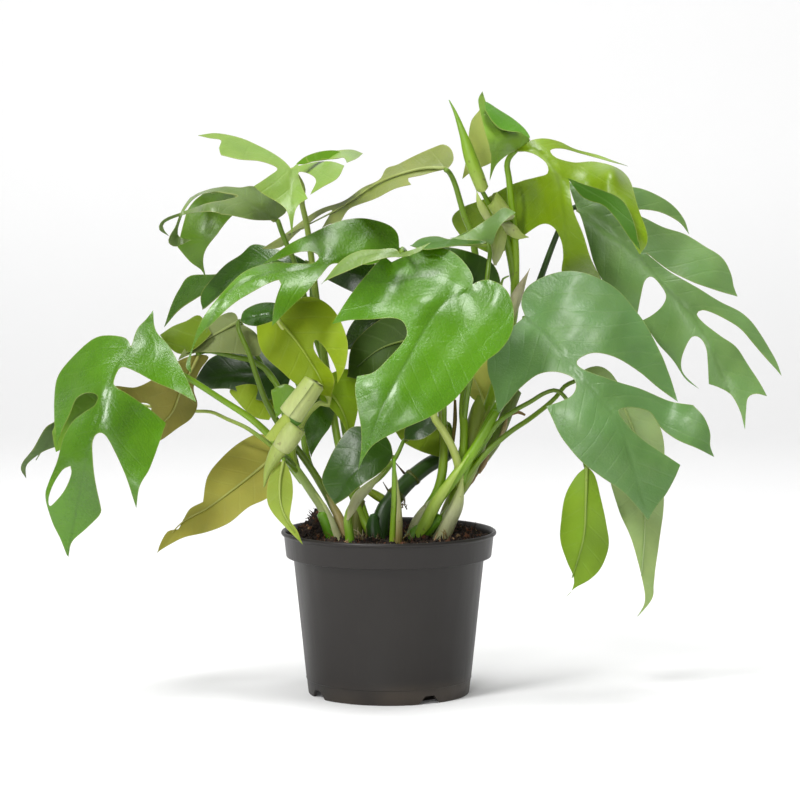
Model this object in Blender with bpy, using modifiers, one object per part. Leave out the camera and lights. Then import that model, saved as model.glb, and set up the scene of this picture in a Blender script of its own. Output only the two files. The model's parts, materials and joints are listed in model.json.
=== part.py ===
"""Mini monstera, Rhaphidophora tetrasperma, in a round nursery pot.

Units are metres, +Z is up, and the front of the plant looks along -Y. The
origin is the bottom centre of the pot. The pot's rim, 130 mm across, sets
the scale. Leaves and stems are laid out as the plant is seen from its front:
a place is an across and a down value on that view, in pixels of an 800 pixel
square, and a depth in millimetres behind the pot's axis. seen() turns such a
place into metres.
"""

import math

import bmesh
import bpy
import numpy as np
from mathutils import Vector
from mathutils.bvhtree import BVHTree
from mathutils.geometry import delaunay_2d_cdt

MM = 0.001
NAME = "mini_monstera"

# Front view: where it is seen from, what its middle meets, and pixels per unit slope
EYE = Vector((0.0068, -1.8, 0.33))
AIM = Vector((0.0068, 0.0, 0.178))
PIXELS_PER_SLOPE = 2990.0
VIEW_MIDDLE = 400.0

# Pot, in millimetres
RIM_RADIUS = 65.2
POT_HEIGHT = 99.0
BAND_TOP_RADIUS = 63.5
BAND_FOOT_RADIUS = 62.3
BAND_FOOT_HEIGHT = 83.4
WALL_TOP_RADIUS = 57.8
BASE_RADIUS = 48.9
WALL = 1.2
PLATE_RADIUS = 37.5
GUTTER_HEIGHT = 6.0
NOTCH_HEIGHT = 5.0
NOTCH_TOP_WIDTH = 6.0
NOTCH_FOOT_WIDTH = 15.0
NOTCH_ANGLES = (-60.0, 30.0, 120.0, 210.0)
POT_STEPS = 64

# Soil, in millimetres; a heap is its place, height and spread
SOIL_LEVEL = 93.5
SOIL_STEPS = 44
SOIL_RINGS = (7.0, 14.0, 21.0, 28.0, 35.0, 42.0, 48.5, 55.0, 60.4)
SEAT_GAP = 0.3
HEAPS = ((-42.0, 14.0, 15.0, 10.0), (-24.0, 22.0, 9.0, 9.0), (34.0, 30.0, 3.0, 13.0),
         (-4.0, 36.0, 10.0, 10.0), (12.0, 20.0, 5.0, 9.0))

# Leaves and stems: BLADE and TUBE_STEP in millimetres, the rest in pixels of the view
BLADE = 0.8
INNER_SPACING = 27.0
INNER_MARGIN = 11.0
TUBE_STEP = 11.0
RUN_JOIN = 2.5


def seen(across, down, depth):
    """The point, in metres, that the front view shows here at this depth."""
    forward = (AIM - EYE).normalized()
    right = forward.cross(Vector((0.0, 0.0, 1.0))).normalized()
    up = right.cross(forward)
    ray = forward * PIXELS_PER_SLOPE
    ray += right * (across - VIEW_MIDDLE) + up * (VIEW_MIDDLE - down)
    return EYE + ray * ((depth * MM - EYE.y) / ray.y)


def clear_scene():
    for obj in list(bpy.data.objects):
        bpy.data.objects.remove(obj, do_unlink=True)


def collection(name, hidden=False):
    made = bpy.data.collections.new(name)
    bpy.context.scene.collection.children.link(made)
    made.hide_render = hidden
    return made


def material(name, colour, roughness):
    made = bpy.data.materials.new(name)
    made.use_nodes = True
    shader = made.node_tree.nodes["Principled BSDF"]
    shader.inputs["Base Color"].default_value = (*colour, 1.0)
    shader.inputs["Roughness"].default_value = roughness
    made.diffuse_color = (*colour, 1.0)
    return made


def mesh_object(name, points, faces, home):
    mesh = bpy.data.meshes.new(name)
    mesh.from_pydata([tuple(p) for p in points], [], [tuple(f) for f in faces])
    mesh.update()
    made = bpy.data.objects.new(name, mesh)
    home.objects.link(made)
    return made


def settle(obj):
    """Turns what the modifiers make, or a curve, into the object's own mesh."""
    bpy.context.view_layer.update()
    graph = bpy.context.evaluated_depsgraph_get()
    mesh = bpy.data.meshes.new_from_object(obj.evaluated_get(graph))
    work = bmesh.new()
    work.from_mesh(mesh)
    bmesh.ops.remove_doubles(work, verts=work.verts, dist=0.00001)
    bmesh.ops.recalc_face_normals(work, faces=work.faces)
    work.to_mesh(mesh)
    work.free()
    name, homes = obj.name, list(obj.users_collection)
    bpy.data.objects.remove(obj, do_unlink=True)
    made = bpy.data.objects.new(name, mesh)
    for home in homes:
        home.objects.link(made)
    return made


def keep_largest(obj):
    """Drops the loose scraps that a Boolean can leave beside the main body."""
    work = bmesh.new()
    work.from_mesh(obj.data)
    left = set(work.verts)
    bodies = []
    while left:
        found = {left.pop()}
        edge = set(found)
        while edge:
            edge = {e.other_vert(v) for v in edge for e in v.link_edges} & left
            left -= edge
            found |= edge
        bodies.append(found)
    bodies.sort(key=len)
    loose = [v for body in bodies[:-1] for v in body]
    bmesh.ops.delete(work, geom=loose, context="VERTS")
    work.to_mesh(obj.data)
    work.free()


def combine(obj, others, operation, cutters):
    """Joins the others to obj, or cuts them from it."""
    if not others:
        return obj
    group = collection(obj.name + "_tools", hidden=True)
    for other in others:
        for home in list(other.users_collection):
            home.objects.unlink(other)
        group.objects.link(other)
    step = obj.modifiers.new(operation.title(), "BOOLEAN")
    step.operation = operation
    step.operand_type = "COLLECTION"
    step.collection = group
    step.solver = "EXACT"
    made = settle(obj)
    for other in others:
        if operation == "UNION":
            bpy.data.objects.remove(other, do_unlink=True)
        else:
            group.objects.unlink(other)
            cutters.objects.link(other)
            other.hide_render = True
            other.display_type = "WIRE"
    bpy.data.collections.remove(group)
    keep_largest(made)
    return made


def curve_through(points, step):
    """Places along a smooth curve through the points, about this far apart."""
    points = [np.array(p, float) for p in points]
    ends = [2 * points[0] - points[1]] + points + [2 * points[-1] - points[-2]]
    out = [points[0]]
    for a, b, c, d in zip(ends, ends[1:], ends[2:], ends[3:]):
        count = max(1, round(float(np.linalg.norm((c - b)[:3])) / step))
        for k in range(1, count + 1):
            t = k / count
            turn = (2 * a - 5 * b + 4 * c - d) * t * t
            turn = turn + (3 * b - a - 3 * c + d) * t**3
            out.append((2 * b + (c - a) * t + turn) / 2)
    return out


def tube(name, path, home, sides=1):
    """A round stem along (x, y, z, radius) places in metres."""
    data = bpy.data.curves.new(name, "CURVE")
    data.dimensions = "3D"
    data.bevel_depth = 1.0
    data.bevel_resolution = sides
    data.use_fill_caps = True
    line = data.splines.new("POLY")
    line.points.add(len(path) - 1)
    for point, place in zip(line.points, path):
        point.co = (place[0], place[1], place[2], 1.0)
        point.radius = place[3]
    made = bpy.data.objects.new(name, data)
    home.objects.link(made)
    return settle(made)


def brought_up(end, after, radius, held):
    """The stem's end, moved to stand SEAT_GAP clear of the piece that it holds."""
    points = [v.co for v in held.data.vertices]
    tree = BVHTree.FromPolygons(points, [tuple(f.vertices) for f in held.data.polygons])
    goal = tree.find_nearest(end)[0]
    way = (after - goal).normalized()
    side = way.orthogonal().normalized()
    across = way.cross(side)
    away = 0.0
    while away < 8.0 * MM:
        centre = goal + way * away
        rim = [centre]
        for step in range(12):
            angle = math.radians(30.0 * step)
            spoke = (side * math.cos(angle) + across * math.sin(angle)) * radius
            rim += [centre + spoke, centre + spoke / 2]
        if min(tree.find_nearest(p)[3] for p in rim) >= SEAT_GAP * MM:
            break
        away += 0.04 * MM
    return goal + way * away


def stem_path(places, radii, held=None):
    """Metre places along a stem whose radius runs evenly between radii."""
    ends = [seen(*p) for p in places]
    if held:
        ends[0] = brought_up(ends[0], ends[1], radii[0] * MM, held)
    lengths = [0.0]
    for a, b in zip(ends, ends[1:]):
        lengths.append(lengths[-1] + (b - a).length)
    spread = [lengths[-1] * i / (len(radii) - 1) for i in range(len(radii))]
    rows = []
    for point, run in zip(ends, lengths):
        radius = float(np.interp(run, spread, radii)) * MM
        rows.append((*point, radius))
    return curve_through(rows, TUBE_STEP * MM)


def surface_through(controls):
    """A smooth sheet, depth over the front view, through its controls."""
    seats = {(c[0], c[1]): c[2] for c in controls}
    at = np.array(list(seats), float) / 100.0
    depth = np.array(list(seats.values()), float)

    def weight(a, b):
        gap = np.linalg.norm(a[:, None] - b[None], axis=2) + 1e-9
        return gap * gap * np.log(gap)

    count = len(at)
    flat = np.hstack([np.ones((count, 1)), at])
    system = np.zeros((count + 3, count + 3))
    system[:count, :count] = weight(at, at) + 0.002 * np.eye(count)
    system[:count, count:] = flat
    system[count:, :count] = flat.T
    answer = np.linalg.solve(system, np.append(depth, [0.0, 0.0, 0.0]))

    def depth_at(places):
        places = np.asarray(places, float) / 100.0
        plane = np.hstack([np.ones((len(places), 1)), places])
        return weight(places, at) @ answer[:count] + plane @ answer[count:]

    return depth_at


def inside(place, loop):
    """Whether the loop winds round the place."""
    x, y = place
    turns = 0
    for (ax, ay), (bx, by) in zip(loop, loop[1:] + loop[:1]):
        side = (bx - ax) * (y - ay) - (x - ax) * (by - ay)
        if ay <= y < by and side > 0:
            turns += 1
        elif by <= y < ay and side < 0:
            turns -= 1
    return turns != 0


def gap_to(place, loop):
    """How far the place is from the loop."""
    nearest = 1e9
    point = Vector(place)
    for a, b in zip(loop, loop[1:] + loop[:1]):
        a, b = Vector(a), Vector(b)
        along = b - a
        share = max(0.0, min(1.0, (point - a).dot(along) / max(along.length_squared, 1e-9)))
        nearest = min(nearest, (point - a - along * share).length)
    return nearest


def joined_runs(runs):
    """One closed loop from margin runs that meet end to end."""
    loop = []
    for run in runs:
        for place in run:
            if not loop or (Vector(place) - Vector(loop[-1])).length > RUN_JOIN:
                loop.append(place)
    if (Vector(loop[0]) - Vector(loop[-1])).length < RUN_JOIN:
        loop.pop()
    return loop


def inner_places(loops):
    """Evenly spread places inside the margin and clear of it."""
    xs = [p[0] for p in loops[0]]
    ys = [p[1] for p in loops[0]]
    places = []
    row = 0
    y = min(ys) + INNER_SPACING / 2
    while y < max(ys):
        x = min(xs) + INNER_SPACING / 2 * (row % 2)
        while x < max(xs):
            held = inside((x, y), loops[0]) and not any(inside((x, y), w) for w in loops[1:])
            if held and min(gap_to((x, y), loop) for loop in loops) > INNER_MARGIN:
                places.append((x, y))
            x += INNER_SPACING
        y += INNER_SPACING * 0.866
        row += 1
    return places


def panel(name, margin, controls, home, windows=(), rib=()):
    """One sheet of a blade, split alike into triangles on both faces."""
    loops = [joined_runs(margin)] + [list(w) for w in windows]
    places, edges = [], []
    for loop in loops:
        first = len(places)
        places += loop
        count = len(loop)
        edges += [(first + i, first + (i + 1) % count) for i in range(count)]
    spine = [tuple(p[:2]) for p in curve_through(rib, 30.0)][1:-1] if rib else []
    spine = [p for p in spine if inside(p, loops[0]) and min(gap_to(p, w) for w in loops) > 5.0]
    inner = [p for p in inner_places(loops) if all(math.dist(p, s) > 15.0 for s in spine)]
    cut = delaunay_2d_cdt([Vector(p) for p in places + spine + inner], edges, [], 0, 1e-4)
    flat = [tuple(v) for v in cut[0]]
    faces = []
    for face in cut[2]:
        centre = np.mean([flat[i] for i in face], axis=0)
        if inside(centre, loops[0]) and not any(inside(centre, w) for w in loops[1:]):
            faces.append(tuple(reversed(face)))
    used = sorted({i for face in faces for i in face})
    index = {old: new for new, old in enumerate(used)}
    faces = [tuple(index[i] for i in face) for face in faces]
    flat = [flat[i] for i in used]
    depths = surface_through(controls)(flat)
    middle = [seen(x, y, d) for (x, y), d in zip(flat, depths)]
    return solid_sheet(name, middle, faces, home)


def solid_sheet(name, middle, faces, home):
    """The sheet given BLADE thickness, half of it on each side."""
    normals = [Vector((0.0, 0.0, 0.0)) for _ in middle]
    for a, b, c in faces:
        face = (middle[b] - middle[a]).cross(middle[c] - middle[a])
        for i in (a, b, c):
            normals[i] += face
    half = BLADE / 2 * MM
    front = [p + n.normalized() * half for p, n in zip(middle, normals)]
    back = [p - n.normalized() * half for p, n in zip(middle, normals)]
    count = len(middle)
    border = {}
    for face in faces:
        for a, b in zip(face, face[1:] + face[:1]):
            if (b, a) in border:
                del border[(b, a)]
            else:
                border[(a, b)] = True
    solid = list(faces)
    solid += [tuple(i + count for i in reversed(face)) for face in faces]
    for a, b in border:
        solid.append((b, a, a + count))
        solid.append((b, a + count, b + count))
    return mesh_object(name, front + back, solid, home)


# Leaves: rib from the petiole to the tip, margin runs that meet at tips and
# notches, and bends that hold the sheet at a depth
LEAVES = {
    "left_shield": dict(
        rib=[(131, 347, -42), (113, 385, -58), (96, 425, -66), (86, 460, -66), (68, 556, -52)],
        margin=[
            [(131, 347), (126, 339), (112, 336), (97, 337), (84, 345), (68, 362), (58, 378), (54, 398),
             (54, 415), (57, 446)],
            [(57, 446), (62, 432), (68, 417), (76, 399), (88, 393), (98, 396), (95, 405), (84, 412),
             (73, 421), (64, 438), (58, 458), (49, 482), (46, 498), (52, 522), (61, 540), (68, 557)],
            [(68, 557), (72, 542), (86, 529), (99, 516), (101, 510)],
            [(101, 510), (97, 490), (93, 462), (92, 443), (97, 434), (105, 435), (116, 454),
             (128, 482), (136, 508)],
            [(136, 508), (140, 486), (150, 468), (159, 443), (166, 423)],
            [(166, 423), (150, 409), (128, 394), (116, 387), (114, 381), (121, 368), (134, 371),
             (155, 382), (176, 391), (196, 402)],
            [(196, 402), (187, 379), (170, 347), (156, 330), (153, 311)],
            [(153, 311), (146, 320), (137, 330), (131, 347)],
        ],
        window=[(70, 466), (71, 474), (66, 488), (58, 499), (50, 506), (49, 498), (54, 483), (62, 470)],
        bends=[(54, 400, -22), (97, 337, -30), (136, 508, -70), (166, 423, -48), (196, 402, -52),
               (153, 311, -10), (165, 355, -38), (46, 498, -52), (101, 510, -60)],
    ),
    "left_tail": dict(
        rib=[(120, 402, 10), (85, 412, 0), (55, 434, -6), (26, 478, 8)],
        margin=[
            [(120, 402), (105, 388), (86, 387), (68, 400), (56, 420), (46, 428), (34, 447), (23, 461),
             (21, 470), (26, 478)],
            [(26, 478), (27, 464), (42, 452), (62, 444), (84, 438), (105, 424), (120, 402)],
        ],
        bends=[(80, 390, -8), (80, 438, 8)],
    ),
    "left_olive": dict(
        rib=[(198, 354, 8), (180, 390, -6), (165, 420, -14), (122, 442, -18)],
        margin=[
            [(198, 354), (180, 360), (160, 375), (136, 387), (114, 386), (98, 394)],
            [(98, 394), (112, 401), (132, 404), (143, 403), (150, 405), (151, 412), (142, 422),
             (122, 443)],
            [(122, 443), (142, 445), (160, 441), (178, 428), (191, 418), (197, 404), (194, 388),
             (200, 370), (208, 357), (198, 354)],
        ],
        bends=[(100, 394, -10), (195, 405, 10), (130, 395, -8)],
    ),
    "low_left_olive": dict(
        rib=[(281, 452, 10), (250, 478, 4), (210, 508, -4), (182, 524, -8), (157, 553, -16)],
        margin=[
            [(281, 452), (272, 438), (258, 434), (243, 441), (222, 457), (208, 476), (203, 502)],
            [(203, 502), (190, 508), (183, 520), (178, 529), (168, 532), (160, 544), (157, 553)],
            [(157, 553), (170, 544), (184, 537), (205, 533), (228, 523), (248, 508), (268, 497),
             (280, 480), (281, 452)],
        ],
        bends=[(215, 465, 18), (255, 505, -10), (190, 508, 0)],
    ),
    "top_left_dark": dict(
        rib=[(276, 220, -8), (250, 203, -22), (225, 190, -12), (196, 196, 2)],
        margin=[
            [(276, 220), (286, 211), (279, 199), (266, 190), (252, 186), (240, 188), (225, 187)],
            [(225, 187), (208, 189), (193, 196), (181, 212), (175, 226), (169, 236), (168, 243),
             (176, 247), (192, 240)],
            [(192, 240), (180, 238), (177, 230), (184, 212), (196, 198), (212, 192), (228, 193),
             (238, 196), (226, 199), (205, 205), (186, 211), (168, 217), (160, 223), (159, 230),
             (168, 236)],
            [(168, 236), (163, 229), (164, 223), (180, 216), (205, 212), (228, 215), (252, 220),
             (276, 220)],
        ],
        bends=[(165, 222, -40), (190, 240, -10), (172, 236, -8), (168, 236, -36), (230, 214, -40),
               (205, 207, -42), (252, 186, -4), (212, 192, -10)],
        flaps=[
            dict(
                margin=[
                    [(252, 204), (238, 196), (222, 192), (203, 194), (189, 207), (183, 224),
                     (177, 247)],
                    [(177, 247), (190, 262), (201, 270), (206, 279)],
                    [(206, 279), (203, 262), (206, 249), (218, 233), (232, 216), (252, 204)],
                ],
                bends=[(252, 204, -21), (240, 200, -12), (203, 194, 14), (232, 216, 2), (206, 279, 10),
                       (180, 245, 12), (203, 235, 6)],
            ),
        ],
    ),
    "top_light": dict(
        rib=[(291, 169, 0), (292, 190, -16), (292, 210, -30), (292, 236, -38)],
        margin=[
            [(291, 169), (279, 158), (258, 146), (238, 138), (216, 134), (198, 136)],
            [(198, 136), (210, 139), (221, 141), (219, 149), (221, 156)],
            [(221, 156), (238, 160), (260, 162), (277, 169), (268, 177), (254, 186)],
            [(254, 186), (266, 195), (281, 204), (288, 214), (292, 236)],
            [(292, 236), (294, 216), (298, 206), (308, 199)],
            [(308, 199), (303, 189), (299, 177), (299, 171), (309, 173), (316, 181), (311, 195)],
            [(311, 195), (323, 187), (337, 178), (344, 165)],
            [(344, 165), (332, 161), (316, 161), (303, 164), (298, 165), (302, 162), (318, 160),
             (334, 158), (344, 157), (347, 162)],
            [(347, 162), (357, 158), (363, 153)],
            [(363, 153), (352, 149), (336, 150), (318, 153), (304, 158), (295, 165), (291, 169)],
        ],
        bends=[(198, 136, 14), (221, 156, -6), (254, 186, -30), (308, 199, -26), (344, 165, -24),
               (311, 195, -24), (363, 153, 30), (330, 153, 22), (240, 148, 4), (335, 168, -22)],
    ),
    "long_lobes": dict(
        rib=[(399, 250, 6), (355, 255, -10), (310, 267, -28), (262, 275, -44), (222, 300, -54),
             (190, 372, -56)],
        margin=[
            [(399, 250), (397, 234), (386, 224), (365, 218), (342, 221), (318, 230), (296, 241),
             (278, 252), (263, 263)],
            [(263, 263), (282, 258), (302, 252), (314, 252), (319, 257), (312, 263), (292, 264),
             (272, 262), (252, 268), (234, 281), (214, 302), (199, 326), (191, 350), (186, 366),
             (191, 373)],
            [(191, 373), (191, 356), (198, 338), (216, 320), (240, 299), (262, 287), (279, 280),
             (281, 284), (276, 298), (273, 312), (272, 326)],
            [(272, 326), (286, 312), (305, 294), (320, 277), (332, 264), (350, 264), (375, 264),
             (399, 250)],
        ],
        bends=[(365, 219, 8), (263, 263, -26), (318, 230, -4), (272, 326, -54), (320, 275, -34),
               (300, 300, -46), (350, 264, -14)],
    ),
    "pale_ridge": dict(
        rib=[(400, 254, -58), (380, 253, -60), (350, 262, -62), (321, 284, -66)],
        margin=[
            [(400, 254), (394, 249), (378, 249), (362, 250), (347, 257), (334, 268), (321, 284)],
            [(321, 284), (338, 275), (356, 267), (376, 261), (390, 257), (404, 256), (418, 253),
             (431, 243)],
            [(431, 243), (416, 249), (400, 254)],
        ],
        bends=[(362, 250, -56), (350, 268, -66), (431, 243, -54)],
    ),
    "centre_heart": dict(
        rib=[(466, 291, -52), (447, 300, -60), (430, 320, -70), (410, 355, -82), (385, 402, -92),
             (358, 471, -94)],
        margin=[
            [(466, 291), (474, 284), (487, 280), (500, 284), (510, 296), (514, 315), (511, 334),
             (500, 350), (484, 363), (468, 384), (452, 402), (430, 417), (400, 430), (376, 443),
             (365, 456), (358, 471)],
            [(358, 471), (361, 450), (361, 428), (357, 405), (355, 388), (357, 376)],
            [(357, 376), (374, 372), (389, 358), (402, 343), (407, 333), (403, 322), (392, 318),
             (370, 319), (350, 320), (332, 324)],
            [(332, 324), (345, 303), (360, 282), (374, 266), (385, 255)],
            [(385, 255), (398, 266), (412, 275), (421, 286), (429, 300), (437, 308), (434, 300),
             (428, 289), (422, 279), (412, 271), (402, 266), (392, 262)],
            [(392, 262), (410, 254), (430, 248), (448, 250), (462, 260), (472, 274), (473, 284),
             (466, 291)],
        ],
        bends=[(514, 315, -66), (332, 324, -72), (385, 255, -50), (392, 262, -40), (448, 250, -36),
               (484, 363, -78), (452, 402, -88), (357, 376, -86), (430, 417, -94), (500, 284, -58),
               (420, 300, -64)],
    ),
    "olive_heart": dict(
        rib=[(277, 319, -16), (297, 342, -22), (315, 368, -24), (331, 397, -20)],
        margin=[
            [(277, 319), (288, 307), (302, 298), (316, 298), (329, 305), (339, 318), (347, 338),
             (348, 352), (344, 369), (337, 384)],
            [(337, 384), (336, 371), (330, 356), (322, 344), (315, 340), (314, 349), (321, 360),
             (330, 370), (334, 382), (331, 397)],
            [(331, 397), (314, 392), (296, 384), (280, 370), (265, 356), (258, 342), (256, 326)],
            [(256, 326), (266, 323), (277, 319)],
        ],
        bends=[(302, 298, -6), (348, 352, -36), (337, 384, -38), (256, 326, -8), (270, 355, -22),
               (314, 392, -26)],
    ),
    "olive_low": dict(
        rib=[(318, 384, -5), (334, 398, -7), (345, 418, -7), (350, 441, -4)],
        margin=[
            [(318, 384), (330, 374), (346, 369), (357, 374), (360, 392), (357, 414), (350, 441)],
            [(350, 441), (343, 424), (332, 410), (321, 400), (318, 384)],
        ],
        bends=[(357, 380, 0)],
    ),
    "sinus_olive": dict(
        rib=[(444, 338, -2), (415, 340, -6), (380, 350, -8), (347, 377, -4)],
        margin=[
            [(444, 338), (425, 318), (402, 310), (382, 318), (364, 332), (351, 350), (347, 377)],
            [(347, 377), (368, 381), (396, 376), (424, 362), (444, 338)],
        ],
        bends=[(395, 312, 10), (390, 378, -16)],
    ),
    "sinus_dark": dict(
        rib=[(420, 300, 22), (395, 312, 20), (370, 330, 20), (344, 350, 24)],
        margin=[
            [(420, 300), (400, 292), (378, 303), (358, 317), (347, 332), (344, 350)],
            [(344, 350), (362, 348), (388, 338), (408, 322), (420, 300)],
        ],
        bends=[(380, 302, 30)],
        flaps=[
            dict(
                margin=[
                    [(424, 302), (400, 280), (380, 266), (362, 262), (345, 265), (328, 280)],
                    [(328, 280), (350, 291), (372, 300), (392, 314), (424, 302)],
                ],
                bends=[(424, 302, 25), (380, 266, 26), (345, 265, 24), (328, 280, 26), (350, 291, 22),
                       (392, 314, 17)],
            ),
        ],
    ),
    "dark_back_left": dict(
        rib=[(292, 374, 34), (262, 372, 30), (230, 374, 28), (194, 382, 30)],
        margin=[
            [(292, 374), (276, 356), (250, 349), (226, 352), (208, 360), (194, 382)],
            [(194, 382), (206, 389), (230, 389), (248, 397), (266, 401), (284, 393), (292, 374)],
        ],
        bends=[(240, 352, 42), (255, 398, 24)],
        flaps=[
            dict(
                margin=[
                    [(276, 392), (250, 384), (230, 390), (237, 401), (247, 412), (257, 418),
                     (269, 420)],
                    [(269, 420), (276, 408), (276, 392)],
                ],
                bends=[(276, 392, 34), (250, 384, 22), (230, 390, 26), (257, 418, 20), (269, 420, 20)],
            ),
        ],
    ),
    "grey_left": dict(
        rib=[(239, 323, 12), (222, 332, 8), (200, 344, 6), (178, 360, 8)],
        margin=[
            [(239, 323), (236, 314), (228, 312), (214, 320), (200, 332), (188, 343), (178, 360)],
            [(178, 360), (196, 353), (216, 352), (240, 354), (258, 356), (262, 344), (254, 332),
             (239, 323)],
        ],
        bends=[(228, 312, 22), (258, 356, 4)],
        flaps=[
            dict(
                margin=[
                    [(212, 334), (200, 316), (186, 321), (173, 326), (160, 335)],
                    [(160, 335), (168, 346), (180, 354), (194, 350), (212, 334)],
                ],
                bends=[(212, 334, 2), (200, 316, 18), (160, 335, 16), (180, 354, 13), (194, 350, 1)],
            ),
        ],
    ),
    "grey_left_hood": dict(
        rib=[(240, 321, 0), (254, 317, -5), (268, 314, -6), (282, 312, -3)],
        margin=[
            [(240, 321), (243, 311), (254, 305), (268, 303), (282, 304)],
            [(282, 304), (284, 314), (276, 322), (262, 326), (249, 325), (240, 321)],
        ],
        bends=[(262, 304, 7), (262, 326, 1)],
    ),
    "dark_wings": dict(
        rib=[(306, 262, 28), (276, 260, 26), (240, 272, 26), (203, 310, 28)],
        margin=[
            [(306, 262), (290, 253), (270, 247), (253, 245), (241, 255), (226, 264), (215, 275),
             (203, 291), (201, 301), (203, 310)],
            [(203, 310), (214, 300), (232, 286), (256, 276), (282, 272), (306, 262)],
        ],
        bends=[(253, 246, 34), (240, 284, 18)],
        flaps=[
            dict(
                margin=[
                    [(284, 262), (262, 258), (238, 270), (215, 274), (191, 276), (180, 288),
                     (171, 306), (164, 327)],
                    [(164, 327), (178, 311), (194, 300), (212, 292), (240, 288), (268, 278),
                     (284, 262)],
                ],
                bends=[(284, 262, 22), (262, 258, 33), (268, 278, 16), (240, 272, 34), (205, 275, 46),
                       (205, 296, 34), (164, 327, 44)],
            ),
        ],
    ),
    "low_shiny": dict(
        rib=[(322, 398, 2), (318, 415, -4), (314, 435, -6), (311, 457, -4)],
        margin=[
            [(322, 398), (334, 408), (331, 424), (322, 438), (311, 457)],
            [(311, 457), (306, 440), (304, 424), (307, 408), (322, 398)],
        ],
        bends=[(333, 410, 6), (305, 425, -8)],
    ),
    "low_oval": dict(
        rib=[(393, 456, -44), (370, 462, -50), (350, 476, -52), (335, 505, -48)],
        margin=[
            [(393, 456), (390, 443), (382, 433), (366, 427), (350, 428), (336, 446), (327, 465),
             (322, 480), (327, 493), (335, 505)],
            [(335, 505), (346, 498), (360, 486), (376, 476), (387, 466), (393, 456)],
        ],
        bends=[(350, 428, -40), (360, 486, -58), (322, 480, -42)],
    ),
    "small_dark": dict(
        rib=[(404, 440, -12), (414, 433, -16), (426, 427, -16), (438, 420, -12)],
        margin=[
            [(404, 440), (404, 430), (410, 420), (422, 414), (438, 418)],
            [(438, 418), (438, 427), (429, 435), (418, 440), (404, 440)],
        ],
        bends=[(412, 420, -8), (425, 438, -20)],
    ),
    "small_olive": dict(
        rib=[(448, 424, 12), (430, 430, 10), (415, 433, 8), (396, 430, 10)],
        margin=[
            [(448, 424), (430, 414), (408, 414), (396, 426), (396, 433)],
            [(396, 433), (402, 441), (414, 448), (430, 454), (444, 456), (452, 440), (448, 424)],
        ],
        bends=[(420, 414, 18), (430, 454, 2)],
    ),
    "right_great": dict(
        rib=[(525, 317, -14), (547, 336, -28), (572, 367, -44), (600, 400, -56), (622, 432, -62),
             (648, 519, -62)],
        margin=[
            [(525, 317), (521, 302), (528, 286), (550, 274), (574, 271), (600, 279), (622, 294),
             (641, 318), (658, 347), (670, 377), (678, 402)],
            [(678, 402), (658, 388), (636, 369), (614, 357), (594, 353), (580, 358), (577, 364),
             (586, 371), (610, 379), (640, 389), (668, 401), (693, 405)],
            [(693, 405), (704, 417), (710, 432), (710, 446), (714, 457)],
            [(714, 457), (698, 449), (678, 440), (662, 428), (650, 413), (634, 408), (621, 409),
             (619, 414), (632, 430), (652, 446), (680, 465)],
            [(680, 465), (675, 478), (667, 493), (656, 507), (648, 520)],
            [(648, 520), (638, 508), (622, 491), (600, 476), (580, 460), (562, 438), (552, 418),
             (546, 406)],
            [(546, 406), (561, 401), (572, 395), (576, 386), (572, 377), (556, 372), (538, 375),
             (521, 388), (508, 403), (498, 413)],
            [(498, 413), (494, 392), (488, 372), (489, 354), (500, 338), (514, 326), (525, 317)],
        ],
        bends=[(574, 271, -18), (641, 318, -28), (678, 402, -34), (714, 457, -46), (693, 405, -44),
               (680, 465, -56), (546, 406, -52), (498, 413, -40), (489, 354, -24), (600, 476, -66),
               (620, 330, -36)],
    ),
    "right_far": dict(
        rib=[(577, 209, 14), (608, 232, 8), (640, 258, 0), (666, 288, -6), (694, 318, -10),
             (712, 352, -16), (745, 430, -28)],
        margin=[
            [(577, 209), (572, 195), (567, 178)],
            [(567, 178), (576, 188), (588, 196), (604, 192), (620, 188), (636, 188), (654, 193),
             (671, 204), (683, 219), (689, 234)],
            [(689, 234), (678, 222), (660, 212), (642, 209), (634, 212), (646, 218), (664, 228),
             (686, 235), (704, 245), (722, 259), (731, 274), (734, 286), (738, 296)],
            [(738, 296), (716, 290), (694, 283), (672, 271), (656, 261), (646, 253), (650, 257),
             (668, 270), (692, 285), (720, 301), (742, 313), (760, 334), (774, 356), (781, 376)],
            [(781, 376), (768, 360), (752, 342), (736, 326), (716, 314), (703, 310), (697, 314),
             (704, 323), (720, 336), (738, 349), (752, 371), (767, 396)],
            [(767, 396), (756, 394), (748, 398), (746, 412), (745, 430)],
            [(745, 430), (740, 411), (731, 395), (720, 388), (709, 384)],
            [(709, 384), (708, 366), (706, 348), (700, 338), (692, 337), (685, 348), (681, 362),
             (684, 374), (699, 389)],
            [(699, 389), (686, 379), (674, 362), (658, 343), (641, 321)],
            [(641, 321), (652, 315), (662, 306), (666, 296), (661, 286), (652, 277), (645, 281),
             (641, 297), (637, 316)],
            [(637, 316), (622, 300), (606, 285), (595, 265), (588, 242), (582, 220), (577, 209)],
        ],
        bends=[(567, 178, 24), (689, 234, 34), (738, 296, 14), (781, 376, 4), (767, 396, -16),
               (637, 316, 6), (699, 389, -10), (655, 195, 32), (700, 262, 12), (740, 325, 2),
               (600, 270, 10)],
    ),
    "top_arch": dict(
        rib=[(516, 150, -6), (538, 150, -12), (555, 172, -18), (563, 205, -20), (566, 240, -12),
             (566, 275, 2)],
        margin=[
            [(516, 150), (526, 142), (542, 139), (558, 142), (574, 149), (600, 155), (628, 166)],
            [(628, 166), (604, 159), (580, 153), (560, 149), (550, 151), (556, 158), (574, 162),
             (594, 161), (614, 166), (628, 178), (636, 202), (646, 228), (647, 243), (640, 254)],
            [(640, 254), (631, 240), (618, 221), (604, 205), (590, 200), (580, 194), (570, 180),
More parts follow.
